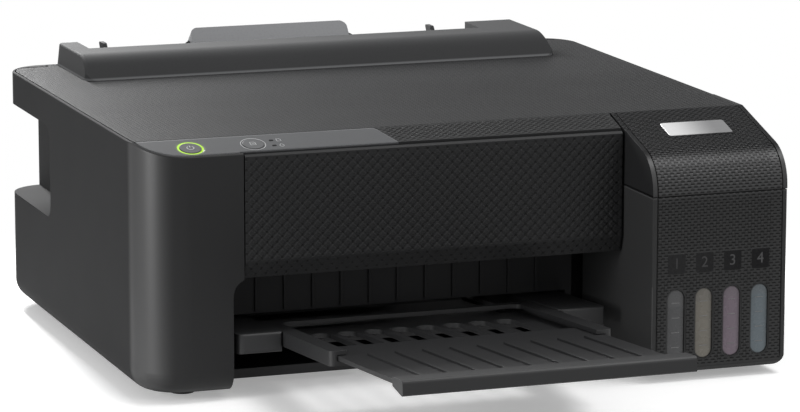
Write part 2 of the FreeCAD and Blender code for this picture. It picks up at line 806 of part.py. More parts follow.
def band_strip(top, bottom):
    strip = roof_layer(top, bottom, COVER_INSET)
    keep = box(-HALF, X_PANEL, Y_PANEL, Y_CREASE - SEAM / 2, 0, TOP_HEIGHT + WALL)
    behind = box(X_COLUMN - PANEL_GAP, X_PANEL, Y_PANEL - WALL, Y_PANEL + WALL + SEAM, 0, TOP_HEIGHT + WALL)
    return strip.common(keep).cut(behind)


def control_height():
    return prism(panel_field(0), "XY", PANEL_BOTTOM, TOP_HEIGHT + WALL)


def control_panel():
    plate = band_strip(0, CONTROL_THICK).common(control_height())
    holes = [on_slope(rod_z(-SKIN, SKIN, 0, 0, RING_OUT + RUN), *POWER_AT)]
    holes.append(on_slope(rod_z(-SKIN, SKIN, 0, 0, BUTTON_RADIUS + BUTTON_PLAY), *FEED_AT))
    return plate.cut(holes)


def front_band():
    band = band_strip(0, SKIN)
    seat = prism(panel_field(RUN), "XY", PANEL_BOTTOM, TOP_HEIGHT + 2 * WALL)
    band = band.cut(band_strip(-WALL, CONTROL_THICK).common(seat))
    holes = [on_slope(rod_z(-2 * SKIN, SKIN, 0, 0, RING_OUT + RUN), *POWER_AT)]
    holes.append(on_slope(rod_z(-2 * SKIN, SKIN, 0, 0, BUTTON_RADIUS + BUTTON_PLAY), *FEED_AT))
    band = band.cut(holes)
    drop = SKIN * math.cos(math.radians(BAND_SLOPE))
    posts = []
    for x in (POWER_AT[0] - BOARD_POST_SPAN, FEED_AT[0] + BOARD_POST_SPAN):
        posts.append(on_slope(rod_z(-SWITCH_BOARD_DROP, -drop + PLAY, 0, 0, POST_RADIUS), x, POWER_AT[1]))
    return fuse(band, *posts)


def button():
    cap = rod_z(-CONTROL_THICK * 2, BUTTON_PROUD, 0, 0, BUTTON_RADIUS)
    cap = cap.makeFillet(BUTTON_PROUD * 0.9, edges_at(cap, BUTTON_PROUD))
    stem = rod_z(-BUTTON_STEM, -CONTROL_THICK, 0, 0, BUTTON_RADIUS * 0.4)
    return fuse(cap, stem)


def power_ring():
    ring = rod_z(-SKIN, 0, 0, 0, RING_OUT).cut(rod_z(-2 * SKIN, SKIN, 0, 0, BUTTON_RADIUS + BUTTON_PLAY))
    return on_slope(ring, *POWER_AT)


def control_board():
    low = -SWITCH_BOARD_DROP - BOARD_THICK
    middle = (POWER_AT[0] + FEED_AT[0]) / 2
    half = (FEED_AT[0] - POWER_AT[0]) / 2 + BOARD_POST_SPAN + POST_RADIUS
    board = box(-half, half, -SWITCH_BOARD_HALF, SWITCH_BOARD_HALF, low, low + BOARD_THICK)
    switches = []
    for x in (POWER_AT[0] - middle, FEED_AT[0] - middle):
        top = -BUTTON_STEM - BUTTON_TRAVEL - PLAY
        switches.append(box(x - SWITCH, x + SWITCH, -SWITCH, SWITCH, low + BOARD_THICK, top - PLAY))
        switches.append(rod_z(top - PLAY, top, x, 0, SWITCH / 2))
    return on_slope(fuse(board, *switches), middle, POWER_AT[1])


# Top cover with the tank lid, and its hinge

def lid_profile(inset, low, back):
    front = Y_TANK + inset
    top = TOP_HEIGHT - inset
    corner = top - (Y_CREASE - front) * SLOPE_RATE
    return [(back, top), (Y_CREASE, top), (front, corner, LID_ROUND - inset), (front, low), (back, low)]


def lid():
    low, back = LID_SEAM + SEAM / 2, SIDE_SEAM_Y - SEAM / 2
    outer = prism(lid_profile(0, low, back), "YZ", X_TANK, HALF)
    inner = prism(lid_profile(SKIN, low - WALL, back + WALL), "YZ", X_TANK + WALL, HALF - WALL)
    sheath = prism(lid_profile(GROOVE, low - WALL, back + WALL), "YZ", X_TANK - WALL, HALF + WALL)
    shape = outer.cut(inner)
    for x in (X_TANK + LID_BORDER, HALF - LID_BORDER - GROOVE):
        ribbon = box(x, x + GROOVE, Y_TANK - WALL, Y_CREASE, 0, TOP_HEIGHT + WALL).cut(sheath)
        shape = shape.cut(ribbon)
    flank = box(X_TANK - WALL, X_TANK + WALL, Y_PANEL + LID_FLANK, back + WALL, 0, TOP_HEIGHT - SKIN)
    return shape.cut(flank)


def hood_base(grow, back):
    """Plan of the hood where it meets the top plate."""
    x, corner = HOOD_HALF + grow, HOOD_CORNER + grow
    front = Y_HOOD - grow
    return [(-x, front, corner), (x, front, corner), (x, back), (-x, back)]


def top_cover():
    """Plate nested in the rim of the case, one piece with the tank lid."""
    low = TOP_HEIGHT - SKIN
    plate = prism(plan(COVER_INSET), "XY", low, TOP_HEIGHT)
    plate = plate.common(box(-HALF, HALF, Y_CREASE + SEAM / 2, Y_BACK - COVER_BACK_GAP, 0, TOP_HEIGHT + WALL))
    half = HALF - 3 * COVER_INSET
    ribs = []
    for i in range(COVER_RIBS):
        y = Y_CREASE + COVER_RIB_FROM + i * COVER_RIB_PITCH
        ribs.append(box(-half, half, y, y + RIB_WIDTH, low - RIB_DEPTH, low))
    for x in (-HALF + 4 * COVER_INSET, HALF - 4 * COVER_INSET - RIB_WIDTH):
        ribs.append(box(x, x + RIB_WIDTH, SIDE_SEAM_Y + WALL, Y_HOOD, low - RIB_DEPTH, low))
    cover = fuse(plate, lid(), *ribs)
    gap = hood_base(SEAM, Y_BACK + WALL)
    cover = cover.cut(prism(gap, "XY", low - 2 * RIB_DEPTH, TOP_HEIGHT + WALL))
    knuckles = []
    for side in (-1, 1):
        x = side * (HOOD_HALF + SEAM + HINGE_LENGTH / 2)
        knuckle = rod_x(x - HINGE_LENGTH / 2, x + HINGE_LENGTH / 2, *HINGE_AT, HINGE_RADIUS)
        knuckles.append(knuckle)
    bores = []
    for side in (-1, 1):
        ends = sorted((side * HOOD_HALF, side * (HOOD_HALF + SEAM + HINGE_LENGTH)))
        bores.append(rod_x(ends[0], ends[1], *HINGE_AT, HINGE_PIN + RUN))
    for side in (-1, 1):
        ends = sorted((side * (HOOD_HALF + SEAM + HINGE_LENGTH), side * HALF))
        bores.append(box(ends[0], ends[1], COVER_CORNER_Y, Y_BACK, 0, TOP_HEIGHT + WALL))
    return fuse(cover, *knuckles).cut(bores)


def hood_block(inset, low, back):
    """Base plan, leaning ends and side profile of the hood taken together, shrunk by inset."""
    front = Y_HOOD + inset
    left, right = -HOOD_HALF + inset, HOOD_HALF - inset
    high = TOP_HEIGHT + HOOD_HEIGHT - inset
    ends = [
        (left, low),
        (right, low),
        (right, TOP_HEIGHT),
        (right - HOOD_RIGHT_LEAN * HOOD_HEIGHT, high),
        (left + HOOD_LEFT_LEAN * HOOD_HEIGHT, high),
        (left, TOP_HEIGHT),
    ]
    side = [
        (front, low),
        (front, TOP_HEIGHT),
        (front + HOOD_LEAN * HOOD_HEIGHT, high, HOOD_CROWN - inset),
        (back, high),
        (back, low),
    ]
    block = prism(hood_base(-inset, back), "XY", low, high)
    return block.common(prism(ends, "XZ", front, back)).common(prism(side, "YZ", left, right))


def hood_creases(block, back):
    """Upper edges of the two leaning ends."""
    low = TOP_HEIGHT + HOOD_HEIGHT / 2
    edges = []
    for face in block.Faces:
        if face.Surface.TypeId == "Part::GeomPlane" and abs(face.normalAt(0, 0).x) > 0.5:
            edges += [e for e in face.Edges if e.CenterOfMass.z > low and e.CenterOfMass.y < back - 1]
    return edges


def feeder_hood():
    """U-shaped wall round the sheet slot, with hollow ears and hinge stubs for the cover."""
    back = Y_BACK - WALL - SEAM
    root = TOP_HEIGHT - HOOD_ROOT
    outer = hood_block(0, root, back)
    outer = outer.makeFillet(HOOD_EDGE, hood_creases(outer, back))
    slot_left, slot_right = -HOOD_HALF + EAR_LEFT, HOOD_HALF - EAR_RIGHT
    inner = hood_block(HOOD_WALL, root - WALL, back + HOOD_WALL)
    high = TOP_HEIGHT + 2 * HOOD_HEIGHT
    slot = inner.common(box(slot_left, slot_right, Y_HOOD, back + HOOD_WALL, 0, high))
    mouth = box(slot_left, slot_right, Y_HOOD + HOOD_OPEN, back + HOOD_WALL, TOP_HEIGHT, high)
    hollow = hood_block(HOOD_WALL, root - WALL, back - HOOD_WALL)
    hollow = hollow.cut(box(slot_left - HOOD_WALL, slot_right + HOOD_WALL, Y_HOOD, Y_BACK, 0, high))
    hood = outer.cut([slot, mouth, hollow])
    stubs = []
    for side in (-1, 1):
        ends = sorted((side * (HOOD_HALF - HOOD_WALL / 2), side * (HOOD_HALF + SEAM + HINGE_LENGTH - PLAY)))
        stubs.append(rod_x(ends[0], ends[1], *HINGE_AT, HINGE_PIN))
    return fuse(hood, *stubs)


# Ink tank unit

def tank_x(index):
    middle = (X_TANK + HALF) / 2 - TANK_SHIFT
    return middle + (index - (len(TANK_NAMES) - 1) / 2) * TANK_PITCH


def window_slot(x, grow, y0, y1):
    half = WINDOW_WIDTH / 2 + grow
    return prism(rect(x - half, x + half, WINDOW_LOW - grow, WINDOW_HIGH + grow, half * 0.999), "XZ", y0, y1)


def tank_housing():
    low, high = FOOT_HEIGHT, LID_SEAM - SEAM / 2
    back = SIDE_SEAM_Y - SEAM / 2
    points = [(X_TANK, Y_TANK, TANK_CORNER), (HALF, Y_TANK, TANK_CORNER), (HALF, back), (X_TANK, back)]
    outer = prism(points, "XY", low, high)
    rounded = [e for e in edges_at(outer, low) if e.CenterOfMass.y < back - 1e-3]
    outer = outer.makeFillet(TANK_BOTTOM_ROUND, rounded)
    inner = prism(rect(X_TANK + WALL, HALF - WALL, Y_TANK + WALL, back + WALL), "XY", low + WALL, high + WALL)
    shell = outer.cut(inner)
    for i in range(len(TANK_NAMES)):
        x = tank_x(i)
        shell = shell.cut(window_slot(x, 0, Y_TANK - WALL, Y_TANK + 2 * WALL))
        rim = window_slot(x, WINDOW_CHAMFER, Y_TANK - WALL, Y_TANK + WINDOW_CHAMFER / 2)
        shell = shell.cut(rim)
    for x in (X_TANK + LID_BORDER, HALF - LID_BORDER - GROOVE):
        groove = box(x, x + GROOVE, Y_TANK - WALL, Y_TANK + GROOVE, low + TANK_BOTTOM_ROUND, high + WALL)
        shell = shell.cut(groove)
    return shell


def ink_tank(index):
    """Hollow tank with a viewing window that fills its slot and a filler neck."""
    x, half = tank_x(index), TANK_THICK / 2
    front = Y_TANK + WALL + PLAY
    body = prism(rect(x - half, x + half, front, front + TANK_LENGTH, TANK_WALL), "XY", TANK_FLOOR, TANK_TOP)
    window = window_slot(x, -WINDOW_PLAY, Y_TANK + WINDOW_RECESS, front + TANK_WALL)
    y = Y_TANK + NECK_BEHIND_FRONT
    neck = rod_z(TANK_TOP - TANK_WALL, TANK_TOP + NECK_HEIGHT, x, y, NECK_RADIUS)
    inner = half - TANK_WALL
    room = rect(x - inner, x + inner, front + TANK_WALL, front + TANK_LENGTH - TANK_WALL)
    cavity = prism(room, "XY", TANK_FLOOR + TANK_WALL, TANK_TOP - TANK_WALL)
    tank = fuse(body, window, neck)
    return tank.cut(cavity).cut(rod_z(TANK_TOP - 2 * TANK_WALL, TANK_TOP + 2 * NECK_HEIGHT, x, y, NECK_BORE))


def cap_hinge():
    return Y_TANK + NECK_BEHIND_FRONT + CAP_REACH, TANK_TOP + NECK_HEIGHT + CAP_THICK


def tank_deck():
    """Plate round the filler necks, with a pair of hinge lugs behind each neck."""
    low = TANK_TOP + PLAY
    high = low + DECK_THICK
    inset = WALL + PLAY
    plate = box(X_TANK + inset, HALF - inset, Y_TANK + inset, Y_TANK + TANK_LENGTH, low, high)
    y, z = cap_hinge()
    lugs, holes = [], []
    for i in range(len(TANK_NAMES)):
        x = tank_x(i)
        for side in (-1, 1):
            near = x + side * (CAP_WIDTH / 2 + PLAY)
            far = near + side * LUG_THICK
            ends = sorted((near, far))
            points = [
                (y - LUG_HALF, high - PLAY),
                (y + LUG_HALF, high - PLAY),
                (y + LUG_HALF, z + LUG_HALF, LUG_HALF * 0.9),
                (y - LUG_HALF, z + LUG_HALF, LUG_HALF * 0.9),
            ]
            lugs.append(prism(points, "YZ", ends[0], ends[1]))
        holes.append(rod_x(x - TANK_PITCH / 2, x + TANK_PITCH / 2, y, z, CAP_PIN + RUN))
        holes.append(rod_z(low - WALL, high + WALL, x, Y_TANK + NECK_BEHIND_FRONT, NECK_RADIUS + PLAY))
    return fuse(plate, *lugs).cut(holes)


def tank_cap(index):
    """Flip cap with a plug, a lever and a hinge pin."""
    x = tank_x(index)
    y, z = cap_hinge()
    neck = Y_TANK + NECK_BEHIND_FRONT
    low = TANK_TOP + NECK_HEIGHT + PLAY
    disc = rod_z(low, low + 2 * CAP_THICK, x, neck, NECK_RADIUS + CAP_LIP)
    disc = disc.makeFillet(CAP_LIP / 2, edges_at(disc, low + 2 * CAP_THICK))
    plug = rod_z(low - CAP_LIP, low, x, neck, NECK_BORE - CAP_PLAY)
    half = CAP_WIDTH / 2
    lever = prism(rect(x - half, x + half, neck, y + CAP_THICK, CAP_THICK / 2), "XY", low, low + CAP_THICK)
    barrel = rod_x(x - half, x + half, y, z, CAP_THICK)
    finger = rect(x - half / 2, x + half / 2, neck - NECK_RADIUS - 3 * CAP_LIP, neck, CAP_LIP)
    tab = prism(finger, "XY", low + CAP_THICK, low + 2 * CAP_THICK)
    pin = rod_x(x - half - LUG_THICK, x + half + LUG_THICK, y, z, CAP_PIN)
    return fuse(disc, plug, lever, barrel, tab, pin)


# Toothed parts

def tooth_ring(teeth, module, phase):
    """Outline of a spur gear; phase turns the middle of a tooth to that angle."""
    pitch_radius = teeth * module / 2
    tip, root = pitch_radius + TOOTH_TIP * module, pitch_radius - TOOTH_ROOT * module
    step = 2 * math.pi / teeth
    spread = ((root, TOOTH_FOOT), (tip, TOOTH_CREST))
    points = []
    for i in range(teeth):
        middle = phase + i * step
        for radius, share in spread:
            points.append((radius, middle - share * step))
        for radius, share in reversed(spread):
            points.append((radius, middle + share * step))
    return [(r * math.cos(a), r * math.sin(a)) for r, a in points]


def gear_x(teeth, y, z, phase, bore):
    """Gear about an X axis in the feed train; angles run from +Y towards +Z."""
    points = [(y + a, z + b) for a, b in tooth_ring(teeth, FEED_MODULE, phase)]
    gear = prism(points, "YZ", GEAR_X, GEAR_X + GEAR_WIDTH)
    return gear.cut(rod_x(GEAR_X - WALL, GEAR_X + 2 * GEAR_WIDTH, y, z, bore))


def tooth_step(teeth):
    return 2 * math.pi / teeth


# Feed train at the left: motor pinion, feed roller, idler and exit roller in one line

def feed_roller():
    shaft = rod_x(GEAR_X - PLAY, END_RIGHT + END_THICK + WALL, FEED_Y, ROLLER_Z, FEED_RADIUS)
    neck = gear_x(FEED_TEETH, FEED_Y, ROLLER_Z, math.pi, FEED_RADIUS)
    return fuse(shaft, neck)


def exit_roller():
    shaft = rod_x(GEAR_X - PLAY, END_RIGHT + END_THICK + WALL, EXIT_Y, ROLLER_Z, EXIT_SHAFT)
    tyres = []
    for x in spread_over_path(TYRE_COUNT, TYRE_WIDTH):
        tyres.append(rod_x(x, x + TYRE_WIDTH, EXIT_Y, ROLLER_Z, EXIT_RADIUS))
    gear = gear_x(EXIT_TEETH, EXIT_Y, ROLLER_Z, tooth_step(EXIT_TEETH) / 2, EXIT_SHAFT)
    return fuse(shaft, gear, *tyres)


def spread_over_path(count, width):
    """Left ends of pieces of one width, spread evenly over the sheet."""
    first = PATH_X - SHEET_WIDTH / 2 + PATH_MARGIN
    span = SHEET_WIDTH - 2 * PATH_MARGIN - width
    return [first + span * i / (count - 1) for i in range(count)]


def idler_gear():
    return gear_x(IDLER_TEETH, IDLER_Y, ROLLER_Z, tooth_step(IDLER_TEETH) / 2, STUD_RADIUS + RUN)


def feed_pinion():
    shaft = rod_x(GEAR_X - PLAY, END_LEFT + END_THICK + SHAFT_DEPTH, PINION_Y, ROLLER_Z, MOTOR_SHAFT)
    return fuse(gear_x(PINION_TEETH, PINION_Y, ROLLER_Z, math.pi, MOTOR_SHAFT), shaft)


def feed_motor():
    x0 = END_LEFT + END_THICK
    can = rod_x(x0, x0 + MOTOR_LENGTH, PINION_Y, ROLLER_Z, MOTOR_RADIUS)
    rim = [e for e in can.Edges if abs(e.CenterOfMass.x - x0 - MOTOR_LENGTH) < 1e-3]
    can = can.makeFillet(MOTOR_ROUND, rim)
    bore = rod_x(x0 - WALL, x0 + SHAFT_DEPTH + WALL, PINION_Y, ROLLER_Z, MOTOR_SHAFT + RUN)
    return can.cut(bore)


def end_plate(x):
    low = FOOT_HEIGHT + WALL
    points = [
        (EXIT_Y - END_FRONT, low),
        (PINION_Y + MOTOR_RADIUS, low),
        (PINION_Y + MOTOR_RADIUS, SHEET_Z + PLAY, END_ROUND),
        (FEED_Y + 2 * END_THICK, SHEET_Z + PLAY),
        (FEED_Y + END_THICK, PLATEN_TOP, 1),
        (EXIT_Y - END_FRONT, PLATEN_TOP, END_ROUND),
    ]
    plate = prism(points, "YZ", x, x + END_THICK)
    front, back = EXIT_Y + END_ROUND, FEED_Y - END_ROUND
    window = rect(front, back, low + END_WINDOW, ROLLER_Z - END_WINDOW_DROP, END_WINDOW)
    return plate.cut(prism(window, "YZ", x - WALL, x + 2 * END_THICK))


def apron():
    """Ribbed wall that closes the bay between the tray and the exit roller."""
    front = EXIT_Y - END_FRONT
    low = TRAY_TOP - (front - tray_front()) * math.tan(math.radians(TRAY_TILT)) + APRON_GAP
    high = ROLLER_Z + WALL
    wall = box(END_LEFT, END_RIGHT + END_THICK, front, front + WALL, low, high)
    ribs = []
    for x in spread_over_path(RIB_COUNT, RIB_WIDTH):
        ribs.append(box(x, x + RIB_WIDTH, front - APRON_RIB, front, low + APRON_RIB, high - APRON_RIB))
    return fuse(wall, *ribs)


def platen():
    """Ribbed bed under the print line, between two end plates that carry the rollers."""
    ends = [end_plate(END_LEFT), end_plate(END_RIGHT)]
    x0, x1 = END_LEFT + PLAY, END_RIGHT + PLAY
    y0, y1 = EXIT_Y + PLATEN_CLEAR, FEED_Y - PLATEN_CLEAR
    low, trough, shelf = PLATEN_TOP - PLATEN_DEEP, PLATEN_TOP - PLATEN_TROUGH, PLATEN_TOP - PLATEN_SHELF
    profile = [
        (y0, low),
        (y1, low),
        (y1, shelf, PLATEN_ROUND),
        (y1 - PLATEN_DEEP, shelf),
        (y1 - PLATEN_DEEP - PLATEN_SHELF, trough),
        (y0 + PLATEN_DEEP + PLATEN_SHELF, trough),
        (y0 + PLATEN_DEEP, shelf),
        (y0, shelf, PLATEN_ROUND),
    ]
    bed = prism(profile, "YZ", x0, x1)
    ribs = []
    for x in spread_over_path(RIB_COUNT, RIB_WIDTH):
        ribs.append(prism(rect(y0 + 1, y1 - 1, trough - 1, PLATEN_TOP, 0.8), "YZ", x, x + RIB_WIDTH))
    stud = rod_x(GEAR_X - PLAY, END_LEFT + PLAY, IDLER_Y, ROLLER_Z, STUD_RADIUS)
    body = fuse(bed, apron(), *ends, *ribs, stud)
    through = END_LEFT - WALL, END_RIGHT + 2 * WALL + END_THICK
    holes = [rod_x(*through, FEED_Y, ROLLER_Z, FEED_RADIUS + RUN)]
    holes.append(rod_x(*through, EXIT_Y, ROLLER_Z, EXIT_SHAFT + RUN))
    holes.append(rod_x(END_LEFT - WALL, END_LEFT + 2 * END_THICK, PINION_Y, ROLLER_Z, MOTOR_SHAFT + PLAY))
    return body.cut(holes)


def pinch_span(grow):
    """Ends of a bar that reaches past the outer pinch rollers."""
    rollers = spread_over_path(PINCH_COUNT, PINCH_WIDTH)
    return rollers[0] - grow, rollers[-1] + PINCH_WIDTH + grow


def pinch_arm():
    """Sprung arm above the feed roller, forked round each pinch roller."""
    y, z = PINCH_AT
    top = z + PINCH_RISE
    back = FRAME_Y - PLAY
    profile = [
        (y - 2, z - 1, 0.8),
        (y + SKIN, z - 1, 0.8),
        (y + 2 * SKIN, top - SKIN, SKIN),
        (back, top - SKIN),
        (back, top),
        (y + SKIN, top, SKIN + 1),
    ]
    arm = prism(profile, "YZ", *pinch_span(PINCH_END))
    low, reach, grip = z - PINCH_MOUTH, PINCH_RADIUS + PLAY, PINCH_AXLE + RUN
    cuts = []
    for x in spread_over_path(PINCH_COUNT, PINCH_WIDTH):
        cuts.append(box(x - PLAY, x + PINCH_WIDTH + PLAY, y - PINCH_MOUTH, y + reach, low, z + reach))
    cuts.append(rod_x(*pinch_span(AXLE_END), y, z, grip))
    cuts.append(box(*pinch_span(AXLE_END), y - grip, y + grip, low, z))
    return arm.cut(cuts)


def pinch_rollers():
    y, z = PINCH_AT
    axle = rod_x(*pinch_span(AXLE_END - PLAY), y, z, PINCH_AXLE)
    rollers = spread_over_path(PINCH_COUNT, PINCH_WIDTH)
    return fuse(axle, *[rod_x(x, x + PINCH_WIDTH, y, z, PINCH_RADIUS) for x in rollers])


def star_span(inset):
    return END_LEFT + END_THICK + PLAY + inset, END_RIGHT - PLAY - inset


def star_bar():
    """Holder over the exit roller, slotted for the star wheels."""
    y, z = STAR_AT
    half, room, grip = STAR_BAR_HALF, STAR_RADIUS + STAR_PLAY, PINCH_AXLE + RUN
    profile = [
        (y - half, z, 1),
        (y - half + 2, z + STAR_BAR_TOP, 1),
        (y + half - 2, z + STAR_BAR_TOP, 1),
        (y + half, z, 1),
        (y + SKIN, z - SKIN / 2),
        (y - SKIN, z - SKIN / 2),
    ]
    bar = prism(profile, "YZ", *star_span(0))
    cuts = [rod_x(*star_span(STAR_BAR_END), y, z, grip)]
    cuts.append(box(*star_span(STAR_BAR_END), y - grip, y + grip, z - 2 * SKIN, z))
    for x in spread_over_path(STAR_COUNT, STAR_WIDTH):
        cuts.append(box(x - PLAY, x + STAR_WIDTH + PLAY, y - room, y + room, z - 2 * STAR_RADIUS, z + room))
    x0, x1 = star_span(WALL)
    tongues = []
    for low, high in ((END_LEFT, x0), (x1, END_RIGHT + END_THICK)):
        tongues.append(box(low, high, y - STAR_RADIUS, y + STAR_RADIUS, PLATEN_TOP, z + SKIN))
    return fuse(bar.cut(cuts), *[t.cut(cuts[:2]) for t in tongues])


def star_wheels():
    y, z = STAR_AT
    axle = rod_x(*star_span(STAR_BAR_END + PLAY), y, z, PINCH_AXLE)
    wheels = []
    for x in spread_over_path(STAR_COUNT, STAR_WIDTH):
        points = []
        for i in range(2 * STAR_POINTS):
            radius = STAR_RADIUS if i % 2 == 0 else STAR_RADIUS * STAR_VALLEY
            angle = math.pi * i / STAR_POINTS
            points.append((y + radius * math.cos(angle), z + radius * math.sin(angle)))
        wheels.append(prism(points, "YZ", x, x + STAR_WIDTH))
    return fuse(axle, *wheels)


# Print carriage, its frame and belt drive

def side_profile():
    low = FOOT_HEIGHT + WALL
    back = FRAME_Y + SHEET_STEEL
    leg = FEED_Y - CHEEK_LEG
    under, over = RAIL_Z - CHEEK_UNDER, RAIL_Z + CHEEK_ROUND
    return [
        (RAIL_Y, under, 2),
        (RAIL_Y + CHEEK_ARM, under, CHEEK_ROUND),
        (leg, ROLLER_Z - CHEEK_LEG, CHEEK_ROUND),
        (leg, low),
        (back, low),
        (back, FRAME_TOP),
        (GUIDE_AT[0] - 2 * CHEEK_ROUND, FRAME_TOP, 6),
        (GUIDE_AT[0] - CHEEK_ARM, over, CHEEK_ROUND),
        (RAIL_Y, over, 2),
    ]


def main_frame():
    """Bent steel frame: back plate with a top flange and two side cheeks."""
    plate = box(FRAME_LEFT, FRAME_RIGHT, FRAME_Y, FRAME_Y + SHEET_STEEL, FRAME_LOW, FRAME_TOP)
    front = FRAME_Y - FLANGE
    flange = box(FRAME_LEFT, FRAME_RIGHT, front, FRAME_Y + SHEET_STEEL, FRAME_TOP - SHEET_STEEL, FRAME_TOP)
    cheeks = []
    for x in (FRAME_LEFT, FRAME_RIGHT - SHEET_STEEL):
        cheeks.append(prism(side_profile(), "YZ", x, x + SHEET_STEEL))
    stud = rod_y(PULLEY_Y - PLAY, FRAME_Y + PLAY, IDLER_X, BELT_Z, STUD_RADIUS)
    frame = fuse(plate, flange, *cheeks, stud, front_rail())
    windows = []
    first = FRAME_LEFT + FRAME_WINDOW_FIRST
    last = FRAME_RIGHT - FRAME_WINDOW_LAST - FRAME_WINDOW
    low, high = FRAME_LOW + CHEEK_ROUND, BELT_Z - FRAME_WINDOW_DROP
    for i in range(FRAME_WINDOWS):
        x = first + (last - first) * i / (FRAME_WINDOWS - 1)
        window = rect(x, x + FRAME_WINDOW, low, high, CHEEK_ROUND / 2)
        windows.append(prism(window, "XZ", FRAME_Y - WALL, FRAME_Y + 2 * SHEET_STEEL))
    windows.append(rod_x(FRAME_LEFT - WALL, FRAME_RIGHT + WALL, *GUIDE_AT, GUIDE_RADIUS))
    windows.append(rod_y(FRAME_Y - WALL, FRAME_Y + WALL, DRIVE_X, BELT_Z, MOTOR_SHAFT + 2 * PLAY))
    return frame.cut(windows)


def guide_shaft():
    shaft = rod_x(FRAME_LEFT - PLAY, FRAME_RIGHT + PLAY, *GUIDE_AT, GUIDE_RADIUS)
    return shaft.makeChamfer(PLAY, [e for e in shaft.Edges if e.Curve.TypeId == "Part::GeomCircle"])


def front_rail():
    points = [
        (RAIL_Y, RAIL_Z),
        (RAIL_Y + RAIL_WIDTH, RAIL_Z),
        (RAIL_Y + RAIL_WIDTH, RAIL_Z - SHEET_STEEL),
        (RAIL_Y + SHEET_STEEL, RAIL_Z - SHEET_STEEL),
        (RAIL_Y + SHEET_STEEL, RAIL_Z - 4),
        (RAIL_Y, RAIL_Z - 4),
    ]
    return prism(points, "YZ", FRAME_LEFT + SHEET_STEEL, FRAME_RIGHT - SHEET_STEEL)


def carriage():
    """Open-topped holder for the ink dampers, on the guide shaft and the front rail."""
    x0, x1 = HOME_X - CARRIAGE_HALF, HOME_X + CARRIAGE_HALF
    foot, toe = RAIL_Z + PLAY, RAIL_Y + SKIN
    front, rear = HEAD_FRONT - CARRIAGE_LIP, HEAD_BACK + CARRIAGE_LIP
    y_back = PULLEY_Y - FLANGE_THICK - 2 * PLAY
    under = GUIDE_Z - 2 * GUIDE_RADIUS
    profile = [
        (toe, foot, 1),
        (front, foot),
        (front, HEAD_TOP, 1),
        (HEAD_BACK + PLAY, HEAD_TOP),
        (rear, HEAD_TOP + CARRIAGE_NECK),
        (rear, under - CARRIAGE_NECK, 3),
        (GUIDE_AT[0] - 2.5 * GUIDE_RADIUS, under, 2),
        (y_back, under, 2),
        (y_back, CARRIAGE_TOP, 2),
        (front, CARRIAGE_TOP, 8),
        (front, foot + 2 * CARRIAGE_NECK + CARRIAGE_LIP, 4),
        (toe, foot + CARRIAGE_NECK, 2),
    ]
    body = prism(profile, "YZ", x0, x1)
    cuts = [rod_x(x0 - WALL, x1 + WALL, *GUIDE_AT, GUIDE_RADIUS + RUN)]
    pockets = len(TANK_NAMES)
    wide = (2 * CARRIAGE_HALF - (pockets + 1) * WALL) / pockets
    for i in range(pockets):
        x = x0 + WALL + i * (wide + WALL)
        room = rect(x, x + wide, front + WALL, HEAD_BACK + 2, 2)
        cuts.append(prism(room, "XY", HEAD_TOP + 2 * WALL, CARRIAGE_TOP + WALL))
    fork = []
    run = BELT_Z - PULLEY_RADIUS - BELT_PLAY
    for low in (run - BELT_THICK - PLAY - WALL, run + PLAY):
        ends = HOME_X - FORK_HALF, HOME_X + FORK_HALF
        fork.append(box(*ends, y_back - PLAY, BELT_Y + BELT_WIDTH, low, low + WALL))
    return fuse(body.cut(cuts), *fork)


def head_plan(inset, corner):
    """Plan of the print head at its home place."""
    half = HEAD_HALF - inset
    return rect(HOME_X - half, HOME_X + half, HEAD_FRONT + inset, HEAD_BACK - inset, corner)


def print_head():
    seat = HEAD_LOW + HEAD_PLATE
    body = prism(head_plan(0, 2), "XY", seat, HEAD_TOP)
    plate = prism(head_plan(HEAD_MARGIN, 1), "XY", HEAD_LOW, seat)
    return fuse(body, plate)


def racetrack(radius):
    return rect(DRIVE_X - radius, IDLER_X + radius, BELT_Z - radius, BELT_Z + radius, radius * 0.999)


def timing_belt():
    inner = PULLEY_RADIUS + BELT_PLAY
    band = prism(racetrack(inner + BELT_THICK), "XZ", BELT_Y, BELT_Y + BELT_WIDTH)
    return band.cut(prism(racetrack(inner), "XZ", BELT_Y - WALL, BELT_Y + BELT_WIDTH + WALL))


def pulley(x):
    drum = rod_y(PULLEY_Y, PULLEY_Y + PULLEY_WIDTH, x, BELT_Z, PULLEY_RADIUS)
    flanges = []
    for y in (PULLEY_Y - FLANGE_THICK, PULLEY_Y + PULLEY_WIDTH):
        flanges.append(rod_y(y, y + FLANGE_THICK, x, BELT_Z, PULLEY_RADIUS + 2 * BELT_THICK))
    return fuse(drum, *flanges)


def drive_pulley():
    shaft = rod_y(PULLEY_Y, FRAME_Y + SHEET_STEEL + SHAFT_DEPTH, DRIVE_X, BELT_Z, MOTOR_SHAFT)
    return fuse(pulley(DRIVE_X), shaft)


def idler_pulley():
    return pulley(IDLER_X).cut(rod_y(PULLEY_Y - WALL, FRAME_Y + WALL, IDLER_X, BELT_Z, STUD_RADIUS + RUN))


def carriage_motor():
    y0 = FRAME_Y + SHEET_STEEL
    can = rod_y(y0, y0 + MOTOR_LENGTH, DRIVE_X, BELT_Z, MOTOR_RADIUS)
    rim = [e for e in can.Edges if abs(e.CenterOfMass.y - y0 - MOTOR_LENGTH) < 1e-3]
    can = can.makeFillet(MOTOR_ROUND, rim)
    return can.cut(rod_y(y0 - WALL, y0 + SHAFT_DEPTH + WALL, DRIVE_X, BELT_Z, MOTOR_SHAFT + RUN))


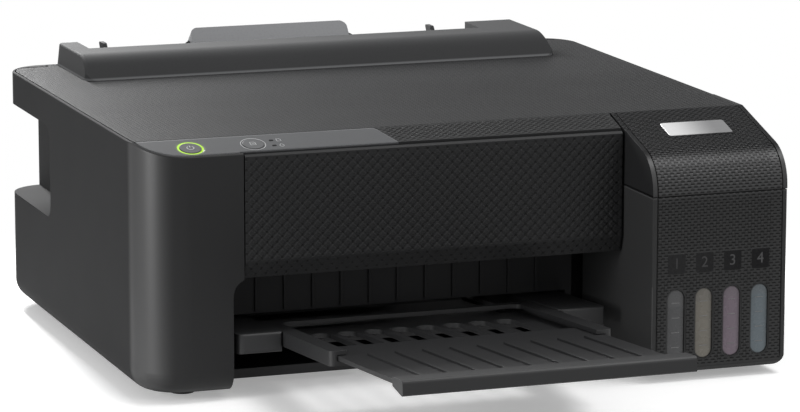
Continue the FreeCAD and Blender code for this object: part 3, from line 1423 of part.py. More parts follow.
def capping_station():
    low = FOOT_HEIGHT + WALL
    x0, x1 = END_RIGHT + END_THICK + WALL + PLAY, FRAME_RIGHT - SHEET_STEEL - PLAY
    shoulder = SEAL_LOW - CHEEK_ROUND
    points = [
        (HEAD_FRONT - 3, low),
        (HEAD_BACK + 5, low),
        (HEAD_BACK + 5, shoulder, 2),
        (HEAD_BACK + 1, SEAL_LOW, 1),
        (HEAD_FRONT - 1, SEAL_LOW, 1),
        (HEAD_FRONT - 3, shoulder, 2),
    ]
    body = prism(points, "YZ", x0, x1)
    return body.cut(wiper_slot(0))


def wiper_slot(grow):
    x = END_RIGHT + END_THICK + WALL + WIPER_IN
    return box(x - grow, x + WIPER_THICK + grow, HEAD_FRONT + 2, HEAD_BACK - 2, SEAL_LOW - 6, HEAD_LOW - PLAY)


def cap_seal():
    outer = prism(head_plan(0, 4), "XY", SEAL_LOW, HEAD_LOW - PLAY)
    inner = prism(head_plan(HEAD_MARGIN, 2), "XY", SEAL_LOW + 2 * PLAY, HEAD_LOW)
    return outer.cut(inner)


# Sheet feeder at the back

def in_feeder(shape):
    """Local X, s up the slope and t square to it, stood at the feeder's foot."""
    shape.rotate(V(0, 0, 0), V(1, 0, 0), 90 - FEED_LEAN)
    shape.translate(V(0, FEEDER_Y, FEEDER_Z))
    return shape


def feeder_frame():
    """Leaning back plate with cheeks, guide slots and a curved chute down to the rollers."""
    x0, x1 = -HOOD_HALF + EAR_LEFT + SEAM, HOOD_HALF - EAR_RIGHT - SEAM
    plate = prism(rect(x0, x1, -FEED_FOOT, PLATE_TOP, 0), "XY", -SKIN, 0)
    cheeks = []
    for x in (x0, x1 - WALL):
        brow = PICKUP_AT[1] + PICKUP_BROW
        points = [
            (-FEED_FOOT, -SKIN),
            (CHEEK_TOP, -SKIN),
            (CHEEK_TOP, 0),
            (PICKUP_AT[0] + CHUTE_BEND, brow, FEED_FOOT),
            (-FEED_FOOT, brow, FEED_FOOT),
        ]
        cheeks.append(prism(points, "YZ", x, x + WALL))
    upper = fuse(plate, *cheeks)
    cuts = [
        rod_x(x0 - WALL, x1 + WALL, *PICKUP_AT, PICKUP_SHAFT + RUN),
        rod_z(-2 * SKIN, SKIN, PATH_X, PINION_S, PINION_PIN + RUN),
    ]
    for side in (-1, 1):
        web = guide_web(side, PLAY)
        cuts.append(prism(web, "XY", -2 * SKIN, SKIN))
    upper = in_feeder(upper.cut(cuts))
    turn = math.radians(FEED_LEAN)
    foot_y, foot_z = FEEDER_Y - FEED_FOOT * math.sin(turn), FEEDER_Z - FEED_FOOT * math.cos(turn)
    chute = [
        (CHUTE_FRONT, SHEET_Z - 4.5),
        (foot_y + 4, SHEET_Z - 3.5, CHUTE_BEND),
        (foot_y + 5, foot_z),
        (foot_y, foot_z),
        (foot_y - 2 * FEED_FOOT, SHEET_Z - 0.5, CHUTE_BEND),
        (CHUTE_FRONT, SHEET_Z - 1.5),
    ]
    lower = prism(chute, "YZ", x0, x1)
    legs = []
    for x in (x0, x1 - 2 * WALL):
        front = foot_y + 4 - LEG_DEPTH
        legs.append(box(x, x + 2 * WALL, front, front + LEG_DEPTH, FOOT_HEIGHT + WALL, SHEET_Z - SKIN))
    return fuse(upper, lower, *legs)


def guide_web(side, grow):
    """Slot of the edge guide's web, in X and s; the guides work from opposite sides of the pinion."""
    s = PINION_S - side * (RACK_PITCH_RADIUS + RACK_BACK / 2 + 0.5)
    near = PATH_X + side * (GUIDE_HALF + WALL)
    far = near - side * WEB_WIDTH
    if grow:
        far -= side * GUIDE_TRAVEL
    ends = sorted((near + side * grow, far - side * grow))
    half = RACK_BACK / 2 - 0.6 + grow
    return rect(ends[0], ends[1], s - half, s + half)


def edge_guide(side):
    """Fence with a foot on the feeder plate and a toothed rack behind it."""
    inner = PATH_X + side * GUIDE_HALF
    ends = sorted((inner, inner + side * WALL))
    fence = [
        (0, PLAY),
        (GUIDE_TOP - FENCE_HIGH, PLAY, 10),
        (GUIDE_TOP, FENCE_NECK - GUIDE_TIP, 1),
        (GUIDE_TOP - GUIDE_TIP * math.tan(math.radians(FEED_LEAN)), FENCE_NECK, 2),
        (ROOF_UP_SLOPE - FENCE_BELOW_ROOF, FENCE_NECK, 4),
        (ROOF_UP_SLOPE - FENCE_BELOW_ROOF - FENCE_NECK, FENCE_HIGH, 4),
        (PICKUP_AT[0] + FENCE_HIGH, FENCE_HIGH, 8),
        (PICKUP_AT[0] + FENCE_HIGH / 2, PICKUP_AT[1] - 2 * PICKUP_SHAFT, 4),
        (0, PICKUP_AT[1] - 2 * PICKUP_SHAFT, 4),
    ]
    wall = prism(fence, "YZ", ends[0], ends[1])
    ends = sorted((inner - side * FOOT_REACH, inner))
    foot = prism(rect(ends[0], ends[1], 1, FOOT_LENGTH, 3), "XY", PLAY, PLAY + 1.6)
    web = prism(guide_web(side, 0), "XY", -SKIN - RACK_THICK - PLAY, PLAY + 1)
    pitch = math.pi * RACK_MODULE
    s_pitch = PINION_S - side * RACK_PITCH_RADIUS
    root, tip = s_pitch - side * TOOTH_ROOT * RACK_MODULE, s_pitch + side * TOOTH_TIP * RACK_MODULE
    back = s_pitch - side * (RACK_BACK + 0.5)
    near, far = PATH_X + side * (GUIDE_HALF + WALL), PATH_X - side * RACK_OVERRUN
    points = [(near, back), (near, root)]
    reach = int((GUIDE_TRAVEL + 2 * RACK_OVERRUN) / pitch)
    for i in range(reach, -4, -1):
        middle = PATH_X + side * (i + 0.5) * pitch
        tooth = ((root, TOOTH_FOOT), (tip, TOOTH_CREST), (tip, -TOOTH_CREST), (root, -TOOTH_FOOT))
        for level, share in tooth:
            points.append((middle + side * share * pitch, level))
    points += [(far, root), (far, back)]
    rack = prism(points, "XY", -SKIN - RACK_THICK - PLAY, -SKIN - PLAY)
    return in_feeder(fuse(wall, foot, web, rack))


def guide_pinion():
    """Pinion between the two racks, with a pin that turns in the feeder plate."""
    points = [(PATH_X + a, PINION_S + b) for a, b in tooth_ring(RACK_TEETH, RACK_MODULE, math.pi / 2)]
    low = -SKIN - RACK_THICK - PLAY
    gear = prism(points, "XY", low, -SKIN - PLAY)
    return in_feeder(fuse(gear, rod_z(low, -PLAY, PATH_X, PINION_S, PINION_PIN)))


def pickup_roller():
    """Shaft with a D-shaped rubber roller that lets the sheet pass when parked."""
    s, t = PICKUP_AT
    x0, x1 = -HOOD_HALF + EAR_LEFT + SEAM, HOOD_HALF - EAR_RIGHT - SEAM
    shaft = rod_x(x0 - PLAY, x1 + PLAY, s, t, PICKUP_SHAFT)
    tyre = rod_x(PATH_X - PICKUP_HALF, PATH_X + PICKUP_HALF, s, t, PICKUP_RADIUS)
    wide, reach = 2 * PICKUP_HALF, 2 * PICKUP_RADIUS
    level = t - PICKUP_RADIUS * PICKUP_FLAT
    flat = box(PATH_X - wide, PATH_X + wide, s - reach, s + reach, t - reach, level)
    return in_feeder(fuse(shaft, tyre.cut(flat)))


def paper_support():
    """Channel behind the feeder plate that draws out upwards."""
    top, low = -SKIN - PLAY, -SKIN - PLAY - SUPPORT_THICK
    half, inner = TAB_HALF + SUPPORT_RAIL, TAB_HALF + PLAY
    body = [
        (SUPPORT_X - half, SUPPORT_LOW, 3),
        (SUPPORT_X + half, SUPPORT_LOW, 3),
        (SUPPORT_X + half, SUPPORT_TOP, SUPPORT_RAIL),
        (SUPPORT_X - half, SUPPORT_TOP, SUPPORT_RAIL),
    ]
    channel = rect(SUPPORT_X - inner, SUPPORT_X + inner, SUPPORT_LOW + WALL, 2 * SUPPORT_TOP)
    return in_feeder(prism(body, "XY", low, top).cut(prism(channel, "XY", low + TAB_FLOOR, top + WALL)))


def tab_layer(low, back, front):
    """Slice of the tab from a distance up the slope to its rounded top."""
    left, right = SUPPORT_X - TAB_HALF, SUPPORT_X + TAB_HALF
    points = [(left, low), (right, low), (right, TAB_TOP, TAB_ROUND), (left, TAB_TOP, TAB_ROUND)]
    return prism(points, "XY", back, front)


def support_tab():
    """Pull-out extension: a plate in the channel, a front flap and a thick head over the support."""
    back = -SKIN - PLAY - SUPPORT_THICK + TAB_FLOOR + PLAY
    front = back + TAB_THICK
    plate = tab_layer(SUPPORT_LOW + 2 * WALL, back, front)
    flap = tab_layer(PLATE_TOP + 2 * PLAY, front, TAB_HEAD_FRONT)
    head = tab_layer(SUPPORT_TOP + PLAY, TAB_HEAD_BACK, back)
    return in_feeder(fuse(plate, flap, head))


# Sheet exit tray

def in_tray(shape):
    """Local X, distance behind the tray's front face, and height over its upper face."""
    shape.rotate(V(0, 0, 0), V(1, 0, 0), -TRAY_TILT)
    shape.translate(V(0, tray_front(), TRAY_TOP))
    return shape


def tray_front():
    """Set back so that the rounded lower edge of the tilted bar is the foremost point."""
    turn = math.radians(TRAY_TILT)
    reach = BAR_ROUND * (1 - math.cos(turn)) + (BAR_HIGH - BAR_ROUND) * math.sin(turn)
    return Y_TANK - TRAY_REACH + reach


def tray_extension():
    """Front bar with a finger chamfer, and a ribbed plate that slides in the tray."""
    half = TRAY_HALF
    bar = [(0, -BAR_HIGH, BAR_ROUND), (BAR_DEEP, -BAR_HIGH + 4), (BAR_DEEP, 0, 1), (0, 0, 2)]
    front = prism(bar, "YZ", PATH_X - half, PATH_X + half)
    inner = half - TRAY_RAIL - PLAY
    high, end = PLATE_LOW + WALL, BAR_DEEP + TRAY_STAGE
    plate = box(PATH_X - inner, PATH_X + inner, BAR_DEEP - 1, end + TRAY_LAP, PLATE_LOW, high)
    rib = rect(BAR_DEEP - 1, end - 4, high - WALL / 2, high + 1.2, 0.5)
    ribs = []
    for i in range(TRAY_RIBS):
        x = PATH_X + (i - (TRAY_RIBS - 1) / 2) * TRAY_RIB_PITCH
        ribs.append(prism(rib, "YZ", x, x + RIB_WIDTH))
    return in_tray(fuse(front, plate, *ribs))


def output_tray():
    """Channel tray with inturned lips over the sliding plate."""
    half = TRAY_HALF
    y0 = BAR_DEEP + TRAY_STAGE + 1.5
    y1 = y0 + TRAY_LENGTH
    outer = prism(rect(PATH_X - half, PATH_X + half, y0, y1, 3), "XY", -BAR_HIGH, -0.5)
    inner = half - TRAY_RAIL
    roof = PLATE_LOW + WALL + PLAY
    tunnel = box(PATH_X - inner, PATH_X + inner, y0 - WALL, y1 + WALL, PLATE_LOW - PLAY, roof)
    inner -= TRAY_LIP
    mouth = rect(PATH_X - inner, PATH_X + inner, y0 - TRAY_SLOT_IN, y1 - 2 * TRAY_RAIL, TRAY_SLOT_HALF)
    tray = outer.cut(tunnel).cut(prism(mouth, "XY", PLATE_LOW, WALL))
    half, low, high = TRAY_SLOT_HALF, y0 + TRAY_SLOT_IN, y1 - TRAY_SLOT_IN
    slots = []
    for i in range(TRAY_RIBS - 1):
        x = PATH_X + (i - (TRAY_RIBS - 2) / 2) * TRAY_RIB_PITCH
        slot = rect(x - half, x + half, low, high, half - 0.1)
        slots.append(prism(slot, "XY", -2 * BAR_HIGH, 0))
    return in_tray(tray.cut(slots))


def tray_guide():
    """Fixed channel under the exit: side blocks flush with the stowed bar, and a tie under the tray."""
    y0 = 2 * TRAY_STAGE
    y1 = y0 + GUIDE_BLOCK
    low = BLOCK_LOW
    reach = TRAY_HALF + SIDE_PLAY
    sides = []
    for x0, x1 in ((X_EXIT + WALL, PATH_X - reach), (PATH_X + reach, BLOCK_RIGHT)):
        block = [(y0, low, 1), (y1, low), (y1, 0), (y0, 0, 1.5)]
        body = prism(block, "YZ", x0, x1)
        rounded = prism([(x0, y0, 4), (x1, y0, 1), (x1, y1), (x0, y1)], "XY", low, 0)
        hollow = box(x0 + WALL, x1 - WALL, y0 + WALL, y1 + WALL, low - WALL, -WALL)
        sides.append(body.common(rounded).cut(hollow))
        ledge_in = LEDGE if x0 < PATH_X else -LEDGE
        edge = x1 if x0 < PATH_X else x0
        ends = sorted((edge - ledge_in / LEDGE, edge + ledge_in))
        sides.append(box(ends[0], ends[1], y0 + TIE_BACK, y1, -BAR_HIGH - PLAY - WALL, -BAR_HIGH - PLAY))
    tie = box(X_EXIT + WALL, BLOCK_RIGHT, y0 + TIE_BACK, y1, low - WALL, low)
    return in_tray(fuse(tie, *sides))


def tray_posts():
    """Legs that stand the tray channel on the floor."""
    legs = []
    turn = math.radians(TRAY_TILT)
    low = BLOCK_LOW - WALL
    half = LEDGE / 2
    for back in (2 * TRAY_STAGE + TIE_BACK + 5 * LEDGE, 2 * TRAY_STAGE + GUIDE_BLOCK - 2 * LEDGE):
        y = tray_front() + back * math.cos(turn) + low * math.sin(turn)
        z = TRAY_TOP - back * math.sin(turn) + low * math.cos(turn)
        for x in (X_EXIT + WALL + LEDGE, BLOCK_RIGHT - LEDGE):
            legs.append(box(x - half, x + half, y - half, y + half, FOOT_HEIGHT + WALL, z + 1))
    return legs


# Electrics at the back

def board_place(across, along):
    """Point on the board from shares of its width and depth."""
    x = BOARD_LEFT + across * (BOARD_RIGHT - BOARD_LEFT)
    return x, BOARD_FRONT + along * BOARD_DEPTH


def on_board(across, along, wide, deep, high):
    x, y = board_place(across, along)
    return box(x, x + wide, y, y + deep, BOARD_TOP, BOARD_TOP + high)


def main_board():
    """Circuit board with chips, plug sockets along its front and the data port at its back."""
    board = box(BOARD_LEFT, BOARD_RIGHT, BOARD_FRONT, BOARD_BACK, BOARD_LOW, BOARD_TOP)
    fitted = [on_board(0.24, 0.3, CHIP, CHIP, 2), on_board(0.53, 0.35, CHIP_SMALL, CHIP_SMALL, 1.5)]
    for i in range(PLUG_COUNT):
        x, y = board_place(0.1 + 0.07 * i, 0.2)
        fitted.append(rod_z(BOARD_TOP, BOARD_TOP + CAN_HIGH, x, y, CAN_RADIUS))
        fitted.append(on_board(0.36 + 0.18 * i, 0.03, PLUG_WIDTH, PLUG_DEEP, PLUG_HIGH))
    return fuse(board, data_port(), *fitted)


def data_port():
    x0, x1 = port_window(0)
    z0, z1 = port_window_z(0)
    body = box(x0, x1, BOARD_BACK - PORT_DEEP / 2, Y_BACK - PLAY, z0, z1)
    edge, cut = PORT_EDGE, PORT_EDGE + PORT_CUT
    mouth = [
        (x0 + edge, z0 + edge),
        (x1 - edge, z0 + edge),
        (x1 - edge, z1 - cut),
        (x1 - cut, z1 - edge),
        (x0 + cut, z1 - edge),
        (x0 + edge, z1 - cut),
    ]
    socket = prism(mouth, "XZ", Y_BACK - PORT_DEEP + 1, Y_BACK)
    x, z = PORT_X, (z0 + z1) / 2
    half, thin = PORT_TONGUE / 2, PORT_EDGE
    tongue = box(x - half, x + half, Y_BACK - PORT_DEEP + PLAY, Y_BACK - PORT_CUT, z - thin, z + thin)
    return fuse(body.cut(socket), tongue)


def power_supply():
    case = rect(SUPPLY_LEFT, SUPPLY_RIGHT, SUPPLY_FRONT, SUPPLY_BACK, 3)
    case = prism(case, "XY", FOOT_HEIGHT + WALL, SUPPLY_TOP)
    left, right = SUPPLY_LEFT + SUPPLY_MARGIN, SUPPLY_RIGHT - SUPPLY_MARGIN
    slots = []
    for i in range(SUPPLY_SLOTS):
        y = SUPPLY_FRONT + SUPPLY_MARGIN + (3 * i + 1) * SUPPLY_SLOT
        slots.append(box(left, right, y, y + SUPPLY_SLOT, SUPPLY_TOP - SUPPLY_SLOT / 2, SUPPLY_TOP + WALL))
    return case.cut(slots)


def power_inlet():
    """Two-pin figure-of-eight mains inlet."""
    x0, x1 = inlet_window(0)
    z0, z1 = inlet_window_z(0)
    body = box(x0, x1, SUPPLY_BACK, Y_BACK - PLAY, z0, z1)
    inner, flat = Y_BACK - INLET_SOCKET, INLET_LOBE * 0.72
    places = [INLET_X + side * INLET_PITCH / 2 for side in (-1, 1)]
    lobes = [rod_y(inner, Y_BACK, x, INLET_Z, INLET_LOBE) for x in places]
    middle = box(places[0], places[1], inner, Y_BACK, INLET_Z - flat, INLET_Z + flat)
    pins = [rod_y(inner - 1, Y_BACK - SKIN, x, INLET_Z, INLET_PIN) for x in places]
    return fuse(body.cut(lobes).cut(middle), *pins)


def waste_pad():
    x0, x1 = END_RIGHT + END_THICK + 2 * WALL, FRAME_RIGHT - SHEET_STEEL - 2 * WALL
    return prism(rect(x0, x1, FRAME_Y + 2 * SHEET_STEEL, WASTE_BACK, 3), "XY", FOOT_HEIGHT + WALL, WASTE_TOP)


# Build every piece

os.makedirs("parts", exist_ok=True)
shell = case_shell()
pieces = {
    "left_cover": left_cover(shell),
    "right_cover": right_cover(shell),
    "back_cover": back_cover(shell),
    "base_pan": base_pan(),
    "rubber_feet": rubber_feet(),
    "case_screws": case_screws(),
    "front_panel": front_panel(),
    "front_band": front_band(),
    "control_panel": control_panel(),
    "power_ring": power_ring(),
    "power_button": on_slope(button(), *POWER_AT),
    "feed_button": on_slope(button(), *FEED_AT),
    "control_board": control_board(),
    "top_cover": top_cover(),
    "feeder_hood": feeder_hood(),
    "tank_housing": tank_housing(),
    "tank_deck": tank_deck(),
    "feed_roller": feed_roller(),
    "exit_roller": exit_roller(),
    "idler_gear": idler_gear(),
    "feed_pinion": feed_pinion(),
    "feed_motor": feed_motor(),
    "platen": platen(),
    "pinch_arm": pinch_arm(),
    "pinch_rollers": pinch_rollers(),
    "star_bar": star_bar(),
    "star_wheels": star_wheels(),
    "main_frame": main_frame(),
    "guide_shaft": guide_shaft(),
    "carriage": carriage(),
    "print_head": print_head(),
    "timing_belt": timing_belt(),
    "drive_pulley": drive_pulley(),
    "idler_pulley": idler_pulley(),
    "carriage_motor": carriage_motor(),
    "capping_station": capping_station(),
    "cap_and_wiper": Part.makeCompound([cap_seal(), wiper_slot(-RUN)]),
    "feeder_frame": feeder_frame(),
    "edge_guide_left": edge_guide(-1),
    "edge_guide_right": edge_guide(1),
    "guide_pinion": guide_pinion(),
    "pickup_roller": pickup_roller(),
    "paper_support": paper_support(),
    "support_tab": support_tab(),
    "output_tray": output_tray(),
    "tray_extension": tray_extension(),
    "tray_guide": fuse(tray_guide(), *tray_posts()),
    "main_board": main_board(),
    "power_supply": power_supply(),
    "power_inlet": power_inlet(),
    "waste_pad": waste_pad(),
}
for index, colour in enumerate(TANK_NAMES):
    pieces["ink_tank_" + colour] = ink_tank(index)
    pieces["tank_cap_" + colour] = tank_cap(index)
for node, shape in pieces.items():
    save(node, shape)
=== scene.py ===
import math

import bmesh
import bpy
from mathutils import Matrix, Vector
from mathutils.bvhtree import BVHTree


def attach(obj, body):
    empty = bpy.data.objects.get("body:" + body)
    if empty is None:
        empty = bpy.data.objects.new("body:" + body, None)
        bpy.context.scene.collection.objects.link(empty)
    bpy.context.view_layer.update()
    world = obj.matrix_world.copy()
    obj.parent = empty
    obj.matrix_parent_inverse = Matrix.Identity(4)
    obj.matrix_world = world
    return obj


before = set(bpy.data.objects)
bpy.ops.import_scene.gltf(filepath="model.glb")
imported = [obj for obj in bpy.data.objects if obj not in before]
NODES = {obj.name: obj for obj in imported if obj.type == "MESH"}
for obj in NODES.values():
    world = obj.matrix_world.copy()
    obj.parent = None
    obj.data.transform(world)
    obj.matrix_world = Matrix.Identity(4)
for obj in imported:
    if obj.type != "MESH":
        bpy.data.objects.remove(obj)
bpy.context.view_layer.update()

MM = 0.001

# Sizes of the printer that the finishes and small pieces follow, in millimetres

# Case: where the level top ends, the front faces, the slope, and the strip close to the hood that
# gets painted light
CREASE_Y = -31.0
PANEL_Y = -53.0
TANK_Y = -95.0
TANK_X = 103.5
TOP_Z = 148.0
SLOPE = math.radians(16.5)
PAINTED_HOOD_LIGHT = (70.0, 138.0)

# Tank lid: its foot, the round between its front and its slope, and the plate on it
LID_SEAM = 109.2
LID_ROUND = 24.0
LID_ROUND_Y = TANK_Y + LID_ROUND
LID_ROUND_Z = 111.1
LID_TURN = math.pi / 2 - SLOPE
BADGE_AT = (147.0, -55.8)
BADGE_SIZE = (40.0, 16.2)
BADGE_CLEAR = (20.5, 8.4)
BADGE_FADE = (128.0, 160.0)

# Moulded patterns; a pillow is given by half its width, half its length and its height
BORDER_LEFT = TANK_X + 3.0
BORDER_RIGHT = 184.4
WOVEN_X = (BORDER_LEFT + 1.5, BORDER_RIGHT - 1.5)
TANK_RUN = (6.0, LID_SEAM - 2.0)
LID_RUN = (LID_SEAM + 1.5, 180.0)
BAND_X = (-36.0, 101.0)
BAND_RUN = (-19.5, -0.5)
WEAVE_ACROSS = 4.0
WEAVE_ALONG = 3.4
WEAVE_PILLOW = (1.0, 1.15, 0.13)
LATTICE = 6.0
LATTICE_COUNTS = (37, 11)
LATTICE_START = (-123.0, 72.0)
LATTICE_PILLOW = (2.45, 2.45, 0.07)
PILLOW_CORNERS = 8

# Tank windows with their level marks, and the numbered tiles over them
WINDOW_PITCH = 17.5
WINDOW_HALF = 5.5
WINDOW_AXIS = (18.5, 49.0)
WINDOW_Y = TANK_Y + 1.0
INK_X = tuple(118.65 + WINDOW_PITCH * i for i in range(4))
MARK_COUNT = 4
MARK_SPAN = 26.1
MARK_MIDDLE_Z = 33.5
MARK_LENGTH = 4.8
MARK_RADIUS = 0.2
TILE_Z = 69.6
TILE_SIZE = (11.0, 11.7)
TILE_CLEAR = (5.8, 6.1)
FIGURE_SIZE = 9.0
FIGURE_DEPTH = 0.06
FIGURE_Y = TANK_Y - 0.15

# Control plate: the buttons' places and what is round them; a sign's foot and top levels
POWER_AT = (-155.4, -42.5)
RING_RADIUS = 6.9
HALO_RADIUS = 7.0
FEED_AT = (-118.5, -42.0)
FEED_HOLE = 6.7
FEED_CIRCLE = (7.3, 6.9)
SIGN_ROWS = (3.3, -3.2)
SIGN_X = 16.0
LAMP_X = 11.6
BUTTON_SIGN = (-0.05, 0.08)
PLATE_SIGN = (-0.05, 0.06)

# Inside: rollers, gears and boards
ROLLER_Z = 57.0
EXIT_Y = 24.0
EXIT_CORE = 3.2
PINCH_AT = (79.0, 65.35)
PINCH_CORE = 1.4
GEAR_X = -140.0
NO_GEAR = -200.0
GRIT_PITCH = 38.0
GRIT_END = 86.0
BOARD_TOP = 17.6
NO_PARTS = 1000.0
PIN_PITCH = 2.54

# Colours that several finishes share
SHAFT_STEEL = (0.55, 0.55, 0.56)
GEAR_PALE = (0.7, 0.69, 0.64)

# Floor, even light and camera; the floor's size and the camera's place and aim are in metres
FLOOR_SIZE = 2.5
FLOOR_MIDDLE = (0.0, 60.0)
FLOOR_FADE = (210.0, 420.0)
FLOOR_GLOW = 0.3
EVEN_LIGHT = 0.35
CAMERA_PLACE = (-0.7965, -2.1765, 0.5476)
CAMERA_AIM = (0.00249, 0.05075, 0.08429)
CAMERA_LENS = 182.1
CAMERA_ROLL = math.radians(0.04)


# Shader arithmetic

class Field:
    """A number that varies over a surface; sums and products add Math nodes to its tree."""

    def __init__(self, tree, socket):
        self.tree = tree
        self.socket = socket

    def math(self, operation, *others):
        node = self.tree.nodes.new("ShaderNodeMath")
        node.operation = operation
        for slot, value in zip(node.inputs, (self,) + others):
            if isinstance(value, Field):
                self.tree.links.new(value.socket, slot)
            else:
                slot.default_value = value
        return Field(self.tree, node.outputs[0])

    def __add__(self, other):
        return self.math("ADD", other)

    def __sub__(self, other):
        return self.math("SUBTRACT", other)

    def __mul__(self, other):
        return self.math("MULTIPLY", other)

    def __truediv__(self, other):
        return self.math("DIVIDE", other)

    def above(self, other):
        return self.math("GREATER_THAN", other)

    def below(self, other):
        return self.math("LESS_THAN", other)

    def highest(self, other):
        return self.math("MAXIMUM", other)

    def lowest(self, other):
        return self.math("MINIMUM", other)

    def from_zero(self):
        return self.math("ABSOLUTE")

    def wave(self, period):
        return (self * (2 * math.pi / period)).math("SINE")

    def from_line(self, period):
        """Distance to the nearest multiple of the period."""
        return self.math("PINGPONG", period / 2)

    def rise(self, low, high):
        """Smooth change from 0 at low to 1 at high."""
        node = self.tree.nodes.new("ShaderNodeMapRange")
        node.interpolation_type = "SMOOTHSTEP"
        self.tree.links.new(self.socket, node.inputs["Value"])
        node.inputs["From Min"].default_value = low
        node.inputs["From Max"].default_value = high
        return Field(self.tree, node.outputs["Result"])

    def opposite(self):
        """1 where this is 0 and 0 where it is 1."""
        return self * -1 + 1

    def fall(self, low, high):
        """Smooth change from 1 at low to 0 at high."""
        return self.rise(low, high).opposite()

    def choose(self, no, yes):
        """no where this is 0 and yes where it is 1."""
        return (yes - no) * self + no


def radius_from(a, b, centre):
    """Distance in a plane from a point."""
    aside, ahead = a - centre[0], b - centre[1]
    return (aside * aside + ahead * ahead).math("SQRT")


def named(sockets, identifier):
    """The socket with that identifier."""
    return next(s for s in sockets if s.identifier == identifier)


# Finishes

def shade(colour, factor):
    return tuple(c * factor for c in colour)


class Finish:
    """A principled material, with the coordinates, relief and tints that the pieces share."""

    def __init__(self, name, colour, roughness, specular=0.5, metal=0.0):
        self.material = bpy.data.materials.new(name)
        self.material.use_nodes = True
        self.tree = self.material.node_tree
        self.shader = self.tree.nodes["Principled BSDF"]
        self.colour = colour
        self.roughness = roughness
        self.set("Base Color", (*colour, 1))
        self.set("Roughness", roughness)
        self.set("Specular IOR Level", specular)
        self.set("Metallic", metal)
        self.normal = None

    def set(self, socket, value):
        self.shader.inputs[socket].default_value = value
        return self

    def add(self, kind):
        return self.tree.nodes.new(kind)

    def link(self, source, target):
        self.tree.links.new(source, target)

    def coordinates(self, kind):
        split = self.add("ShaderNodeSeparateXYZ")
        self.link(self.add("ShaderNodeTexCoord").outputs[kind], split.inputs[0])
        return [Field(self.tree, axis) for axis in split.outputs]

    def place(self):
        """Object coordinates in millimetres."""
        return [axis / MM for axis in self.coordinates("Object")]

    def facing(self):
        """Surface direction in the piece's own axes."""
        return self.coordinates("Normal")

    def noise(self, size, detail=2.0, stretch=(1, 1, 1)):
        """Mottling with grains of about that size in millimetres."""
        mapping = self.add("ShaderNodeMapping")
        mapping.inputs["Scale"].default_value = stretch
        self.link(self.add("ShaderNodeTexCoord").outputs["Object"], mapping.inputs["Vector"])
        node = self.add("ShaderNodeTexNoise")
        node.inputs["Scale"].default_value = 1 / (size * MM)
        node.inputs["Detail"].default_value = detail
        self.link(mapping.outputs["Vector"], node.inputs["Vector"])
        return Field(self.tree, node.outputs["Fac"])

    def face(self, normal):
        self.normal = normal
        self.link(normal, self.shader.inputs["Normal"])
        return self

    def soft_edges(self, radius):
        """Rounds the look of edges by that radius in millimetres."""
        node = self.add("ShaderNodeBevel")
        node.samples = 4
        node.inputs["Radius"].default_value = radius * MM
        return self.face(node.outputs["Normal"])

    def painted_edge_highlights(self, amount, colour):
        """Painted highlight, paler where the softened normal turns from the face's own, along
        edges and creases.
        """
        compare = self.add("ShaderNodeVectorMath")
        compare.operation = "DOT_PRODUCT"
        self.link(self.normal, compare.inputs[0])
        self.link(self.add("ShaderNodeNewGeometry").outputs["Normal"], compare.inputs[1])
        turn = Field(self.tree, compare.outputs["Value"]).opposite()
        return self.tint(turn.rise(0.01, 0.16) * amount, colour)

    def relief(self, height, depth):
        """Raises the surface by depth in millimetres where height is 1."""
        node = self.add("ShaderNodeBump")
        node.inputs["Distance"].default_value = depth * MM
        self.link(height.socket, node.inputs["Height"])
        if self.normal is not None:
            self.link(self.normal, node.inputs["Normal"])
        return self.face(node.outputs["Normal"])

    def tint(self, amount, colour):
        """Mixes another colour in by amount."""
        node = self.add("ShaderNodeMix")
        node.data_type = "RGBA"
        base = self.shader.inputs["Base Color"]
        under = named(node.inputs, "A_Color")
        if base.is_linked:
            self.link(base.links[0].from_socket, under)
        else:
            under.default_value = (*self.colour, 1)
        named(node.inputs, "B_Color").default_value = (*colour, 1)
        self.link(amount.socket, named(node.inputs, "Factor_Float"))
        self.link(named(node.outputs, "Result_Color"), base)
        return self

    def shaded(self, amount, factor):
        """Mixes the finish's own colour in by amount, made darker or lighter by the factor."""
        return self.tint(amount, shade(self.colour, factor))

    def vary(self, socket, amount, low, high):
        """Runs a shader value from low to high by amount."""
        self.link((amount * (high - low) + low).socket, self.shader.inputs[socket])
        return self


def moulded(name, colour, roughness=0.5, specular=0.4, grain=0.7, edge=0.4, edge_highlight=0.5):
    """Moulded plastic: fine grain, soft edges with a painted highlight, slightly uneven tone and
    gloss.
    """
    finish = Finish(name, colour, roughness, specular).soft_edges(edge)
    # painted highlight along every edge and crease
    finish.painted_edge_highlights(edge_highlight, shade(colour, 2.2))
    finish.shaded(finish.noise(60).rise(0.2, 0.8) * 0.5, 1.1)
    finish.shaded(finish.noise(grain * 1.6, 1).rise(0.45, 0.8) * 0.3, 0.75)
    finish.vary("Roughness", finish.noise(30), roughness - 0.03, roughness + 0.03)
    return finish.relief(finish.noise(grain, 1), 0.012)


def satin_fronts(finish, smooth, rough):
    """Satin towards the front with a glossier streak down the round column; matt elsewhere."""
    across, back, _ = finish.facing()
    left, ahead = across * -1, back * -1
    mottle = finish.noise(30) * 0.08
    finish.vary("Roughness", ahead.rise(0.2, 0.62) + mottle, rough, smooth)
    column = left.rise(0.3, 0.68) * ahead.rise(0.03, 0.25)
    finish.set("Coat Roughness", smooth)
    return finish.vary("Coat Weight", column, 0.0, 0.62)


def glazed_fronts(finish, sunk, weight, roughness):
    """A satin skin where the face turns to the front, thinner in the sunk part of its pattern."""
    front = (finish.facing()[1] * -1).rise(0.35, 0.75)
    finish.set("Coat Roughness", roughness)
    return finish.vary("Coat Weight", front * (sunk * -0.7 + 1), 0.0, weight)


